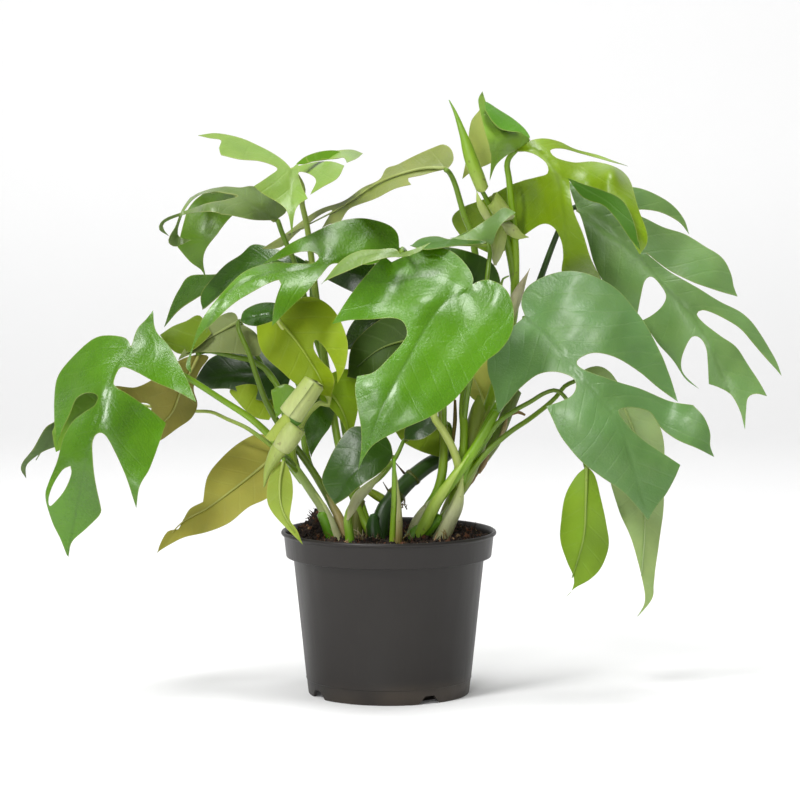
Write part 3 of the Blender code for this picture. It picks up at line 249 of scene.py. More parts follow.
def leaf_finish(name, rough, coat, vein_show, rib_show, shade, grain, shine):
    """A leaf surface, from its gloss to how plainly the veins and the grain show."""
    paint = Paint(name)
    green = paint.tint("green")
    aside = abs(paint.number("aside"))
    wander = (paint.noise(22.0, 2.0) - 0.5) * VEIN_WANDER_MM
    phase = (paint.number("along") - aside * VEIN_SLANT + wander) / VEIN_PITCH_MM
    side_vein = (1.0 - phase.wave().between(0.0, 0.10)) * aside.between(0.5, 4.0)
    midrib = 1.0 - aside.between(0.25, 1.5)
    beside = 1.0 - aside.between(1.0, 9.0)
    margin = 1.0 - paint.number("margin").between(0.05, 0.6)
    broad = paint.noise(16.0, 3.0).between(0.30, 0.70)
    blotch = paint.noise(55.0, 3.0, 0.6).between(0.35, 0.75)
    crepe = paint.noise(650.0, 3.0, 0.65)
    deep = paint.mix(1.0, green, (shade, shade * 1.02, shade * 0.8), "MULTIPLY")
    warm = paint.mix(1.0, green, (1.18, 1.04, 0.85), "MULTIPLY")
    pale = paint.mix(0.35, green, (0.40, 0.52, 0.22))
    edge = paint.mix(0.55, green, (0.36, 0.34, 0.10))
    colour = paint.mix(broad, deep, green)
    colour = paint.mix(blotch * 0.35, colour, warm)
    # Painted shade: the band beside the midrib is darkened as shade in its groove, and the midrib line
    # is darkened partly as its own colour and partly as shade in the groove.
    colour = paint.mix(beside * 0.16, colour, deep)
    colour = paint.mix(side_vein * vein_show, colour, pale)
    colour = paint.mix(midrib * rib_show, colour, deep)
    # The margin runs toward a pale yellow: partly the edge's own yellower colour, partly a painted
    # highlight along the edge.
    colour = paint.mix(margin * 0.5, colour, edge)
    wrinkle = paint.noise(210.0, 3.0, 0.6)
    height = crepe * grain + wrinkle * 0.55 + blotch * 0.4 - side_vein * 0.3
    return paint.finish(
        Base_Color=colour, Roughness=crepe * 0.10 + blotch * 0.08 + (rough - 0.09),
        Normal=paint.bump(height, 0.38, 0.0009), Coat_Weight=coat, Coat_Roughness=0.20,
        Specular_IOR_Level=shine, Subsurface_Weight=0.12, Subsurface_Radius=(0.6, 1.0, 0.2),
        Subsurface_Scale=0.0008,
    )


FINISHES = {
    "glossy": leaf_finish("leaf_glossy", 0.30, 0.30, 0.03, 0.55, 0.60, 1.1, 0.40),
    "satin": leaf_finish("leaf_satin", 0.40, 0.06, 0.06, 0.60, 0.70, 0.6, 0.38),
    "matt": leaf_finish("leaf_matt", 0.60, 0.0, 0.09, 0.75, 0.80, 0.3, 0.22),
}
print("leaf finishes:", ", ".join(FINISHES))

# %% [markdown]
# ## Smooth margins and sheets
#
# The edge of a blade is drawn as runs that meet at its tips and notches. Each
# run is smoothed by a curve through its places, so tips and notches stay
# sharp. A sheet of small triangles fills the edge, and a thin-plate spline
# through the midrib and a few bends lifts it to its depth, as a steamed
# sheet would bend. Subdivision of a coarse cage would round off the tips.

# %% Curves and clearances
MARGIN_STEP = 3.0
LEAST_GAP = 1.2


def flowing(places, step, axes=2):
    """Rows about a step apart, over the first axes, on a smooth curve through the places."""
    points = np.array(places, float)
    ends = np.vstack([2 * points[0] - points[1], points, 2 * points[-1] - points[-2]])
    out = [points[0]]
    for a, b, c, d in zip(ends, ends[1:], ends[2:], ends[3:]):
        count = max(1, round(float(np.linalg.norm((c - b)[:axes])) / step))
        t = (np.arange(1, count + 1) / count)[:, None]
        out.extend((2 * b + (c - a) * t + (2 * a - 5 * b + 4 * c - d) * t**2
                    + (3 * b - a - 3 * c + d) * t**3) / 2)
    return np.array(out)


def winding(places, loop):
    """Whether the closed loop goes round each place."""
    a, b = loop, np.roll(loop, -1, 0)
    x, y = places[:, :1], places[:, 1:2]
    side = (b[:, 0] - a[:, 0]) * (y - a[:, 1]) - (x - a[:, 0]) * (b[:, 1] - a[:, 1])
    rising = (a[:, 1] <= y) & (y < b[:, 1]) & (side > 0)
    falling = (b[:, 1] <= y) & (y < a[:, 1]) & (side < 0)
    return rising.sum(1) != falling.sum(1)


def nearest(places, line, closed=False):
    """Distance to a line, how far along it and on which side, for each place."""
    a = line if closed else line[:-1]
    b = np.roll(line, -1, 0) if closed else line[1:]
    way = b - a
    length = np.maximum(np.linalg.norm(way, axis=1), 1e-6)
    to = places[:, None, :] - a[None]
    share = np.clip((to * way).sum(2) / length**2, 0.0, 1.0)
    gap = np.linalg.norm(to - way * share[..., None], axis=2)
    best = gap.argmin(1)
    row = np.arange(len(places))
    runs = np.concatenate([[0.0], np.cumsum(length)[:-1]])
    along = runs[best] + share[row, best] * length[best]
    side = np.sign(way[best, 0] * to[row, best, 1] - way[best, 1] * to[row, best, 0])
    return gap[row, best], along, side


def closed_edge(runs):
    """One closed loop of smoothed runs; each run starts where the one before it ends."""
    pairs = zip(runs[-1:] + runs[:-1], runs)
    loop = np.vstack([flowing(before[-1:] + run, MARGIN_STEP)[:-1] for before, run in pairs])
    kept = [loop[0]]
    for place in loop[1:]:
        if np.linalg.norm(place - kept[-1]) > LEAST_GAP:
            kept.append(place)
    if np.linalg.norm(kept[0] - kept[-1]) < LEAST_GAP:
        kept.pop()
    return np.array(kept)


print("curve kit ready")

# %% The spline that gives a sheet its depth
def depth_through(controls):
    """A function of front view places, smooth through (across, down, depth) controls."""
    seats = {(c[0], c[1]): c[2] for c in controls}
    at = np.array(list(seats), float) / 100.0
    depth = np.array(list(seats.values()), float)

    def weight(a, b):
        gap = np.linalg.norm(a[:, None] - b[None], axis=2) + 1e-9
        return gap * gap * np.log(gap)

    count = len(at)
    flat = np.hstack([np.ones((count, 1)), at])
    system = np.zeros((count + 3, count + 3))
    system[:count, :count] = weight(at, at) + 0.002 * np.eye(count)
    system[:count, count:] = flat
    system[count:, :count] = flat.T
    answer = np.linalg.solve(system, np.append(depth, [0.0, 0.0, 0.0]))

    def depth_at(places):
        places = np.asarray(places, float) / 100.0
        plane = np.hstack([np.ones((len(places), 1)), places])
        return weight(places, at) @ answer[:count] + plane @ answer[count:]

    return depth_at


print("depth spline ready")

# %% [markdown]
# ## Greens as the shader takes them
#
# A green is written from 0 to 255, as it looks in the bright room. A shader
# takes linear values instead, and white light and gloss wash a colour out, so
# each channel is also lowered by a share. Blue is lowered most where there is
# little of it. The shares were found by comparing renders.

# %% Colours for the shader
PIGMENT = (0.70, 0.70)
BLUE_PIGMENT = ((50, 0.08), (70, 0.22), (90, 0.42), (100, 0.50), (190, 0.72))


def pigment(rgb):
    """A colour as a shader takes it, from how it looks in the bright room."""
    shares = (*PIGMENT, float(np.interp(rgb[2], *zip(*BLUE_PIGMENT))))
    return [share * ((v / 255 + 0.055) / 1.055) ** 2.4 for share, v in zip(shares, rgb)]


def running(share, greens):
    """The greens spread evenly over shares from 0 to 1, as a shader takes them."""
    shades = np.array([pigment(g) for g in greens])
    stops = np.linspace(0.0, 1.0, len(greens))
    return np.stack([np.interp(share, stops, shades[:, c]) for c in range(3)], 1)


print("a full green as the shader takes it:", [round(v, 3) for v in pigment((94, 154, 32))])

# %% [markdown]
# ## One sheet of a blade
#
# A blade is half a millimetre thick and thins out at its edge. Its upper face
# is sunk along the midrib and puffs up a little between the side veins, and
# its edge waves slightly. These follow from the same along and aside values
# as the veins, so relief and colour agree. The two faces are stitched along
# the edge, which keeps the sheet a closed body.

# %% Small triangles that fill an edge
GRID_STEP = 4.4
RIB_ROWS = (1.8, 4.2)
GRID_FROM_RIB = 6.4
SPINE_ROOM = 1.6
GRID_ROOM = 2.2


def inside(places, loops):
    """Whether each place lies in the first loop and in no window after it."""
    held = winding(places, loops[0])
    for window in loops[1:]:
        held &= ~winding(places, window)
    return held


def flat_mesh(loops, rib):
    """Places and triangles that fill the loops, with rows along the midrib."""
    border = np.vstack(loops)
    edges, first = [], 0
    for loop in loops:
        count = len(loop)
        edges += [(first + i, first + (i + 1) % count) for i in range(count)]
        first += count
    rows = [rib]
    way = np.gradient(rib, axis=0)
    normal = np.stack([-way[:, 1], way[:, 0]], 1) / np.linalg.norm(way, axis=1)[:, None]
    for off in RIB_ROWS:
        rows += [rib + normal * off, rib - normal * off]
    spine = np.vstack(rows)
    low, high = border.min(0), border.max(0)
    xs, ys = np.arange(low[0], high[0], GRID_STEP), np.arange(low[1], high[1], GRID_STEP * 0.866)
    grid = np.array([(x + GRID_STEP / 2 * (j % 2), y) for j, y in enumerate(ys) for x in xs])
    grid = grid[nearest(grid, rib)[0] > GRID_FROM_RIB]
    fill = []
    for places, room in ((spine, SPINE_ROOM), (grid, GRID_ROOM)):
        held = inside(places, loops)
        for loop in loops:
            held &= nearest(places, loop, True)[0] > room
        fill.append(places[held])
    places = np.vstack([border, *fill])
    cut = delaunay_2d_cdt([Vector(p) for p in places], edges, [], 0, 1e-4)
    flat = np.array([tuple(v) for v in cut[0]])
    faces = np.array([tuple(reversed(face)) for face in cut[2]])
    faces = faces[inside(flat[faces].mean(1), loops)]
    used, index = np.unique(faces, return_inverse=True)
    return flat[used], index.reshape(-1, 3)


print("edge filler ready")

# %% The relief of a blade
GROOVE_MM = 0.5
GROOVE_HALF_MM = 1.7
PUFF_MM = 0.10
WAVE_MM = 0.5
SWELL_MM = 0.4
EDGE_REACH_MM = 9.0


def relief(flat, along, off, side, clear):
    """How far the upper face stands out: groove, puffs, edge wave and swells, in mm."""
    phase = (along - off * VEIN_SLANT) / VEIN_PITCH_MM
    near_edge = np.clip(clear / EDGE_REACH_MM, 0.0, 1.0)
    room = near_edge ** 1.5
    lift = -GROOVE_MM * np.exp(-((off / GROOVE_HALF_MM) ** 2)) * room
    lift += PUFF_MM * (1.0 - np.cos(2 * math.pi * phase)) * np.clip(off / 6.0, 0, 1) * room
    lift += WAVE_MM * (1.0 - near_edge) * np.sin(along / 5.2 + 1.7 * side)
    x, y = flat.T / 100.0
    swell = np.sin(9.1 * x + 4.3 * y) + np.sin(11.7 * y - 5.2 * x + 1.1)
    swell = swell + 0.6 * np.sin(19.0 * x + 13.0 * y)
    lift += SWELL_MM * swell * np.clip(clear / 8.0, 0.2, 1.0) * np.clip(off / 5.0, 0.0, 1.0)
    return lift


print("relief ready")

# %% A sheet with two faces
BLADE_MM = 0.5
EDGE_MM = 0.24
RIM_MM = 0.2
# Triangles in a narrow tip have no corner inside, and would all be margin
TIP_MARGIN_MM = 0.45


def sheet(margin, controls, rib, looks, windows=()):
    """The points, faces and attributes of one sheet of a blade."""
    loops = [closed_edge(margin)] + [closed_edge([w[1:] + w[:1]]) for w in windows]
    line = flowing([p[:2] for p in rib], MARGIN_STEP)
    flat, faces = flat_mesh(loops, line)
    off, along, side = nearest(flat, line)
    off, along = off * PIXEL_MM, along * PIXEL_MM
    clear = np.min([nearest(flat, loop, True)[0] for loop in loops], axis=0) * PIXEL_MM
    middle = seen(flat, depth_through(controls)(flat))
    corner = middle[faces]
    across = np.cross(corner[:, 1] - corner[:, 0], corner[:, 2] - corner[:, 0])
    normals = np.zeros_like(middle)
    for k in range(3):
        np.add.at(normals, faces[:, k], across)
    normals /= np.linalg.norm(normals, axis=1)[:, None] + 1e-12
    lift = relief(flat, along, off, side, clear)
    middle = middle + normals * (lift * looks["face"] * MM)[:, None]
    at_rim = clear < RIM_MM
    shown = clear.copy()
    shown[np.unique(faces[at_rim[faces].all(1)])] = TIP_MARGIN_MM
    half = np.where(at_rim, EDGE_MM, BLADE_MM)[:, None] / 2 * MM
    count = len(flat)
    ends = np.concatenate([faces[:, [0, 1]], faces[:, [1, 2]], faces[:, [2, 0]]])
    known = {tuple(e) for e in ends.tolist()}
    border = sorted((a, b) for a, b in known if (b, a) not in known)
    stitches = [f for a, b in border for f in ((b, a, a + count), (b, a + count, b + count))]
    front, back = pigment(looks["front"]), pigment(looks["back"])
    return dict(
        points=np.vstack([middle + normals * half, middle - normals * half]),
        faces=np.concatenate([faces, faces[:, ::-1] + count, np.array(stitches)]),
        along=np.tile(along, 2), aside=np.tile(off * side, 2), margin=np.tile(shown, 2),
        green=np.array([front] * count + [back] * count),
        sharp=[e for a, b in border for e in ((a, b), (a + count, b + count))],
        look=looks["finish"],
    )


print("sheet maker ready")

# %% Sheets joined in one object
def joined(name, sheets, materials):
    """One mesh object of all the sheets, with their attributes."""
    points = np.vstack([s["points"] for s in sheets])
    starts = np.cumsum([0] + [len(s["points"]) for s in sheets])
    faces = np.vstack([s["faces"] + start for s, start in zip(sheets, starts)])
    mesh = bpy.data.meshes.new(name)
    mesh.from_pydata(points.tolist(), [], faces.tolist())
    for key in ("along", "aside", "margin"):
        layer = mesh.attributes.new(key, "FLOAT", "POINT")
        layer.data.foreach_set("value", np.concatenate([s[key] for s in sheets]))
    green = np.vstack([s["green"] for s in sheets])
    layer = mesh.attributes.new("green", "FLOAT_COLOR", "POINT")
    layer.data.foreach_set("color", np.hstack([green, np.ones((len(green), 1))]).ravel())
    mesh.shade_smooth()
    sharp = {tuple(sorted((a + start, b + start)))
             for s, start in zip(sheets, starts) for a, b in s["sharp"]}
    for edge in mesh.edges:
        if tuple(sorted(edge.vertices)) in sharp:
            edge.use_edge_sharp = True
    slots = {}
    numbers = []
    for s in sheets:
        if s["look"] not in slots:
            slots[s["look"]] = len(slots)
            mesh.materials.append(materials[s["look"]])
        numbers += [slots[s["look"]]] * len(s["faces"])
    mesh.polygons.foreach_set("material_index", numbers)
    return added(name, mesh)


print("sheet kit ready")

# %% [markdown]
# ## Tubes for ribs and stalks
#
# A stalk is a round tube along a smooth path, and the raised midrib under a
# blade is the same with a small radius. A curve object with a bevel would do
# too, but rings made here can carry colour and length as attributes, and
# their domed ends are closed.

# %% Rings along a path
def rounded(rows, greens, sides):
    """A closed tube along (x, y, z, radius) rows, its colour running through the greens."""
    middle, radius = rows[:, :3], rows[:, 3]
    way = np.gradient(middle, axis=0)
    way /= np.linalg.norm(way, axis=1)[:, None]
    side = np.cross(way[0], (0.3, 0.9, 0.2))
    rings, spans = [], np.linalg.norm(np.diff(middle, axis=0), axis=1)
    along = np.concatenate([[0.0], np.cumsum(spans)]) / MM
    angles = np.arange(sides) * 2 * math.pi / sides
    for k in range(len(rows)):
        side = side - way[k] * side.dot(way[k])
        side /= np.linalg.norm(side)
        up = np.cross(way[k], side)
        ring = np.cos(angles)[:, None] * side + np.sin(angles)[:, None] * up
        rings.append(middle[k] + radius[k] * ring)
    count = len(rows)
    domes = [middle[:1] - way[:1] * radius[0] * 0.5, middle[-1:] + way[-1:] * radius[-1] * 0.5]
    faces = []
    for k in range(count - 1):
        for s in range(sides):
            a, b = k * sides + s, k * sides + (s + 1) % sides
            faces += [(a, b, b + sides), (a, b + sides, a + sides)]
    last = (count - 1) * sides
    for s in range(sides):
        t = (s + 1) % sides
        faces += [(t, s, count * sides), (last + s, last + t, count * sides + 1)]
    runs = np.concatenate([np.repeat(along, sides), along[:1], along[-1:]])
    share = runs / max(along[-1], 1e-6)
    turned_to = np.concatenate([np.tile(angles, count), [0.0, 0.0]])
    return dict(points=np.vstack(rings + domes), faces=np.array(faces), along=runs,
                aside=turned_to, margin=share, green=running(share, greens), sharp=[],
                look="stalk")


print("tube maker ready")

# %% [markdown]
# ## Sheets rolled round a stalk
#
# A sheath is a papery leaf foot that stays wound round its stalk and dries to
# an open roll. A tube would look solid, so a strip with a thin wall is wound
# about the path by an angle, and it narrows to points at its ends.

# %% A rolled sheet along a path
SCROLL_WALL_MM = 0.4
SCROLL_SIDES = 26
SCROLL_GROW = 0.16
SCROLL_LENGTH_MM = 60.0


def scroll(rows, greens, turns, start, points):
    """A thin sheet wound about (x, y, z, radius) rows. Over the points shares its ends run out."""
    sides = SCROLL_SIDES
    way = np.gradient(rows[:, :3], axis=0)
    way /= np.linalg.norm(way, axis=1)[:, None]
    side = np.cross(way, (0.2, 1.0, 0.1))
    side /= np.linalg.norm(side, axis=1)[:, None]
    up = np.cross(way, side)
    at = np.linspace(0.0, 1.0, len(rows))
    full = np.minimum(*(np.clip(share / max(reach, 0.01), 0.06, 1.0) ** 0.7
                        for share, reach in zip((at, 1.0 - at), points)))
    spread = np.linspace(-0.5, 0.5, sides)
    angle = 2 * math.pi * (start + turns * (0.5 + spread * full[:, None]))
    grow = 1.0 + SCROLL_GROW * turns * (0.5 + spread)
    faces, skins = [], []
    round_path = np.cos(angle)[..., None] * side[:, None] + np.sin(angle)[..., None] * up[:, None]
    for wall in (0.0, SCROLL_WALL_MM * MM):
        wide = rows[:, 3, None] * grow - wall
        skins.append(rows[:, None, :3] + wide[..., None] * round_path)
    count, total = len(rows), len(rows) * sides
    for k in range(count - 1):
        for s in range(sides - 1):
            a, b = k * sides + s, k * sides + s + 1
            c, d = b + sides, a + sides
            faces += [(a, b, c), (a, c, d)]
            faces += [(c + total, b + total, a + total), (d + total, c + total, a + total)]
    ring = list(range(sides)) + [k * sides + sides - 1 for k in range(1, count)]
    ring += [(count - 1) * sides + s for s in reversed(range(sides - 1))]
    ring += [k * sides for k in reversed(range(1, count - 1))]
    sharp = []
    for a, b in zip(ring, ring[1:] + ring[:1]):
        faces += [(b, a, a + total), (b, a + total, b + total)]
        sharp += [(a, b), (a + total, b + total)]
    share = np.repeat(np.linspace(0.0, 1.0, count), sides)
    return dict(points=np.vstack([skin.reshape(-1, 3) for skin in skins]), faces=np.array(faces),
                along=np.tile(share * SCROLL_LENGTH_MM, 2), aside=np.tile(angle.ravel(), 2),
                margin=np.tile(share, 2), green=np.tile(running(share, greens), (2, 1)),
                sharp=sharp, look="sheath")


print("scroll maker ready")

# %% [markdown]
# ## The greens of each leaf
#
# Every leaf has its own green: fresh leaves are bright and old ones olive.
# Leaves in shade are dark, and where they sit deep in the crown or in a shaded
# fold that dark green is painted shade. A row gives the face that the front
# view sees, the finish, and 1 where that face is the upper one or -1 where it
# is the underside. More rows of one leaf belong to its folded flaps, in their
# order.

# %% Colours by leaf
LOOKS = {
    "left_shield": [((92, 150, 16), "glossy", 1)],
    "left_tail": [((84, 118, 72), "satin", 1), ((112, 160, 52), "satin", 1)],
    "left_olive": [((164, 158, 96), "matt", -1)],
    "low_left_olive": [((182, 178, 96), "matt", -1)],
    "top_left_dark": [((122, 150, 98), "satin", 1), ((92, 134, 34), "satin", -1)],
    "top_light": [((146, 184, 96), "satin", 1), ((104, 156, 44), "matt", -1)],
    "upper_left_arch": [((152, 166, 106), "satin", -1)],
    "long_lobes": [((94, 150, 26), "glossy", 1)],
    "pale_ridge": [((132, 166, 98), "satin", 1)],
    "centre_heart": [((94, 154, 32), "glossy", 1)],
    "olive_heart": [((144, 170, 50), "matt", -1)],
    "olive_low": [((150, 188, 60), "matt", -1)],
    # sinus_olive and sinus_dark are seen through the heart leaf's notch; their dark greens are painted
    # shade.
    "sinus_olive": [((56, 84, 14), "matt", -1)],
    "sinus_dark": [((46, 76, 14), "glossy", 1), ((46, 84, 14), "glossy", 1)],
    # dark_back_left's dark front green is painted shade; its olive underside flap is its own colour.
    "dark_back_left": [((46, 84, 16), "satin", 1), ((156, 182, 72), "matt", -1)],
    # grey_left's grey front green is a painted sheen on a dark leaf.
    "grey_left": [((138, 152, 108), "matt", -1), ((112, 140, 54), "matt", -1)],
    "grey_left_hood": [((66, 118, 14), "glossy", 1)],
    "dark_wings": [((68, 118, 14), "glossy", 1), ((72, 118, 28), "glossy", 1)],
    "low_shiny": [((84, 138, 24), "glossy", 1)],
    "low_oval": [((50, 88, 26), "satin", 1)],
    "small_dark": [((40, 76, 10), "satin", 1)],
    "small_olive": [((122, 150, 42), "matt", -1)],
    "right_great": [((112, 158, 106), "satin", 1)],
    "right_far": [((124, 166, 110), "satin", 1)],
    # In top_arch the fourth row, the inside of the rolled right lobe, is dark with painted shade.
    "top_arch": [((136, 172, 44), "satin", 1), ((134, 178, 84), "satin", 1),
                 ((186, 202, 118), "satin", -1), ((66, 116, 10), "matt", -1),
                 ((88, 152, 16), "satin", 1)],
    "mid_flat": [((78, 132, 20), "satin", 1), ((126, 166, 104), "satin", 1)],
    "mid_back_olive": [((64, 106, 18), "satin", 1)],
    "gap_olive": [((226, 228, 128), "matt", -1)],
    "hang_right": [((136, 174, 72), "matt", -1)],
    "hang_right_long": [((176, 204, 146), "matt", -1)],
    "narrow_hanging": [((160, 182, 88), "matt", -1)],
    "rolled_sheath": [((180, 200, 108), "matt", -1), ((105, 150, 26), "satin", 1)],
}
print("leaves with a colour:", len(LOOKS))

# %% [markdown]
# ## The finish of a stalk
#
# Stalks are smooth and pale green with fine lengthwise lines and a few brown
# specks. Their colour runs along them as an attribute. The old stem is corky
# instead, with rough brown bark over green.

# %% Stalk finishes
def stalk_finish(name, bark):
    """A stalk surface; bark is the share of brown and rough over the green."""
    paint = Paint(name)
    green = paint.tint("green")
    lines = paint.number("aside")
    stretched = paint.place((1.0, 1.0, 0.25))
    broad = paint.noise(60.0, 3.0, where=stretched).between(0.35, 0.7)
    fine = paint.noise(420.0, 3.0, 0.6, where=stretched)
    specks = paint.noise(300.0, 1.0).between(0.70, 0.76)
    deep = paint.mix(1.0, green, (0.70, 0.72, 0.55), "MULTIPLY")
    colour = paint.mix(broad * 0.5, green, deep)
    colour = paint.mix(specks * (0.35 + bark * 0.5), colour, (0.10, 0.055, 0.02))
    colour = paint.mix(fine.between(0.4, 0.65) * bark, colour, (0.12, 0.085, 0.035))
    ridges = (lines * (7.0 / math.pi)).wave()
    height = ridges * 0.5 + fine * (0.4 + 2.0 * bark)
    return paint.finish(
        Base_Color=colour, Roughness=fine.between(0.3, 0.7) * 0.15 + (0.36 + 0.3 * bark),
        Normal=paint.bump(height, 0.35 + 0.5 * bark, 0.0005), Subsurface_Weight=0.10,
        Subsurface_Radius=(0.8, 1.0, 0.3), Subsurface_Scale=0.0015,
    )


FINISHES["stalk"] = stalk_finish("stalk_green", 0.0)
FINISHES["bark"] = stalk_finish("stalk_bark", 0.40)
FINISHES["sheath"] = stalk_finish("sheath_papery", 0.12)
print("stalk finishes ready")

# %% [markdown]
# ## Putting a leaf together
#
# A leaf is its blade, any folded flaps and the midrib that stands out under
# the blade. The stalk runs on into that midrib, so the first place of the
# midrib is kept for the stalk to meet.

# %% Leaves
RIB_RADIUS_MM = (1.1, 0.75, 0.2)
RIDGE_STEP = 5.0
RIDGE_SHARE = 0.86
RIDGE_PALE = (190, 205, 120)
LOWER_FACE = (152, 172, 96)
UPPER_FACE = (84, 124, 46)
MEET_BEHIND = 2.5
STALK_MEETS = {}


def look(row):
    """What one row of LOOKS says, with a green for the face turned away."""
    front, finish, face = row
    toward = LOWER_FACE if face > 0 else UPPER_FACE
    back = tuple((a + b) / 2 for a, b in zip(front, toward))
    return dict(front=front, back=back, finish=finish, face=face)


def leaf(name, rib, margin, bends, window=None, flaps=()):
    """One leaf as one piece: its blade, its flaps and the ridge of its midrib."""
    looks = [look(row) for row in LOOKS[name]]
    controls = rib + bends
    sheets = [sheet(margin, controls, rib, looks[0], [window] if window else [])]
    for flap, shown in zip(flaps, looks[1:]):
        sheets.append(sheet(flap["margin"], flap["bends"], rib, shown))
    line = flowing([p[:2] for p in rib], RIDGE_STEP)
    depth_at = depth_through(controls)
    middle = seen(line, depth_at(line))
    right, down = (seen(line + step, depth_at(line + step)) - middle
                   for step in ((1.0, 0.0), (0.0, 1.0)))
    outward = np.cross(down, right)
    outward /= np.linalg.norm(outward, axis=1)[:, None]
    radius = np.interp(np.linspace(0, 1, len(line)), (0, 0.3, 1), RIB_RADIUS_MM)[:, None] * MM
    face = looks[0]["face"]
    STALK_MEETS[name] = (*line[0], depth_at(line[:1])[0] + MEET_BEHIND * face)
    rows = slice(0, round(RIDGE_SHARE * len(line)))
    sunk = (GROOVE_MM + BLADE_MM / 2) * MM + 0.7 * radius
    places = np.hstack([middle - outward * face * sunk, radius])
    green = looks[0]["back"] if face > 0 else looks[0]["front"]
    pale = tuple(0.6 * a + 0.4 * b for a, b in zip(green, RIDGE_PALE))
    ridge = rounded(places[rows], [pale, pale, green], 8)
    made = joined(name + "_leaf", sheets + [ridge], FINISHES)
    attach(made, "root")
    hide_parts(name)
    print(name, "triangles:", len(made.data.polygons))
    return made


print("leaf maker ready")

# %% [markdown]
# ## Putting stalks together
#
# A vine is its leaf stalks, which grow out of one another and so are one
# piece. Each starts where its leaf keeps the place of its midrib, and its
# greens run from the leaf down to the soil. Sheaths, node rings, roots and dry
# fibres join the vine as extra sheets.

# %% Stalks
STALK_SIDES = 14
STALK_GREENS = {
    "left_shield": [(104, 150, 30), (124, 170, 48), (140, 182, 62), (160, 196, 90),
                    (198, 208, 156), (80, 156, 26)],
    "grey_left_hood": [(110, 142, 52), (98, 128, 44), (104, 132, 50), (96, 130, 40)],
    "olive_heart": [(206, 216, 140), (190, 208, 118), (150, 182, 72)],
    "left_tail": [(186, 202, 120), (172, 194, 100), (140, 176, 60)],
    "top_light": [(176, 198, 104), (150, 184, 76), (132, 170, 60)],
    "low_oval": [(130, 190, 44), (156, 200, 62), (150, 196, 56), (166, 190, 84), (120, 110, 60)],
    "small_dark": [(96, 136, 40), (140, 176, 62), (172, 200, 92), (120, 184, 44), (110, 170, 40)],
    "centre_heart": [(190, 212, 96), (176, 204, 80), (206, 220, 132), (176, 204, 84),
                     (214, 216, 176)],
    "top_arch": [(122, 164, 46), (150, 190, 58), (160, 198, 66), (130, 176, 46)],
    "upper_left_arch": [(120, 156, 70), (134, 170, 70), (150, 190, 64)],
    "right_great": [(96, 140, 40), (122, 170, 40), (130, 180, 44)],
    "right_far": [(48, 82, 18), (44, 78, 18), (66, 100, 34)],
    "hang_right": [(104, 140, 36), (110, 144, 36), (116, 160, 40)],
    "hang_right_long": [(120, 154, 48), (112, 146, 40), (128, 166, 50)],
    "long_lobes": [(140, 176, 60), (150, 178, 66), (140, 158, 66), (120, 164, 40), (150, 186, 80)],
    "gap_olive": [(150, 164, 78), (146, 160, 84), (140, 168, 60)],
    "vine_back": [(108, 138, 82), (112, 136, 72), (104, 116, 62), (122, 104, 66)],
    None: [(38, 72, 22), (48, 84, 26), (34, 70, 22), (44, 82, 24), (40, 88, 34)],
}
PLAIN_STALK = [(112, 150, 44), (122, 160, 48), (130, 168, 56)]
PALE_SHEATH = [(206, 206, 160), (214, 220, 172), (190, 208, 120)]
GREEN_SHEATH = [(150, 196, 60), (186, 212, 104), (160, 196, 76)]
OLIVE_SHEATH = [(146, 180, 60), (150, 166, 84), (140, 160, 80)]
DRY_SHEATH = [(150, 124, 84), (176, 156, 112), (170, 168, 110)]
PALE_FIBRES = [(214, 204, 176), (190, 172, 138), (150, 122, 84)]
DRY_FIBRES = [(150, 118, 78), (112, 82, 52), (176, 150, 108)]


def stalk_rows(places, radii, step_mm=3.0):
    """(x, y, z, radius) rows of a stalk whose radius runs evenly between radii."""
    places = np.array(places, float)
    points = seen(places[:, :2], places[:, 2])
    runs = np.concatenate([[0.0], np.cumsum(np.linalg.norm(np.diff(points, axis=0), axis=1))])
    radius = np.interp(runs, np.linspace(0.0, runs[-1], len(radii)), radii) * MM
    return flowing(np.hstack([points, radius[:, None]]), step_mm * MM, 3)


def tube(places, radii, greens, look="stalk", sides=STALK_SIDES, step_mm=2.0):
    """A stem, node or fibre along front view places."""
    made = rounded(stalk_rows(places, radii, step_mm), greens, sides)
    made["look"] = look
    return made


def wrap(places, radii, greens, turns=0.5, start=0.0, points=(0.0, 0.6)):
    """A papery sheath that stands round its stalk, open on one side and pointed on top."""
    return scroll(stalk_rows(places, radii, 1.5), greens, turns, start, points)


def tuft(place, count, length, greens, seed):
    """Dry fibres that spread up and aside from one place."""
    chance = np.random.default_rng(seed)
    x, y, depth = place
    made = []
    for _ in range(count):
        lean, turn = chance.normal(0.0, 0.6), chance.uniform(-0.6, 0.6)
        size = length * chance.uniform(0.4, 1.0)
        start = (x + chance.uniform(-4, 4), y + chance.uniform(-2, 4),
                 depth + chance.uniform(-4, 3))
        path = [(start[0] + size * share * math.sin(lean + turn * share),
                 start[1] - size * share * math.cos(lean + turn * share),
                 start[2] + size * 0.3 * turn * share) for share in (0.0, 0.35, 0.7, 1.0)]
        green = greens[chance.integers(len(greens))]
        made.append(tube(path, (0.42, 0.3, 0.12), [green] * 2, "sheath", 5, 2.5))
    return made


def stalks(name, *rows, extras=()):
    """The stalks of one vine as one piece."""
    sheets = list(extras)
    for held, places, radii in rows:
        if held in STALK_MEETS:
            places = [STALK_MEETS[held]] + places
        path = stalk_rows(places, radii)
        stalk = rounded(path, STALK_GREENS.get(held, PLAIN_STALK), STALK_SIDES)
        if name == "old_stem":
            stalk["look"] = "bark"
        sheets.append(stalk)
    made = joined(name + "_stalks", sheets, FINISHES)
    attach(made, "root")
    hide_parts(name)
    print(name, "triangles:", len(made.data.polygons))
    return made


print("leaf and stalk makers ready")

# %% [markdown]
# ## The left leaves
#
# On the left a cut leaf hangs in full light, with the tip of another behind it
# and two old leaves that show their dull olive undersides.

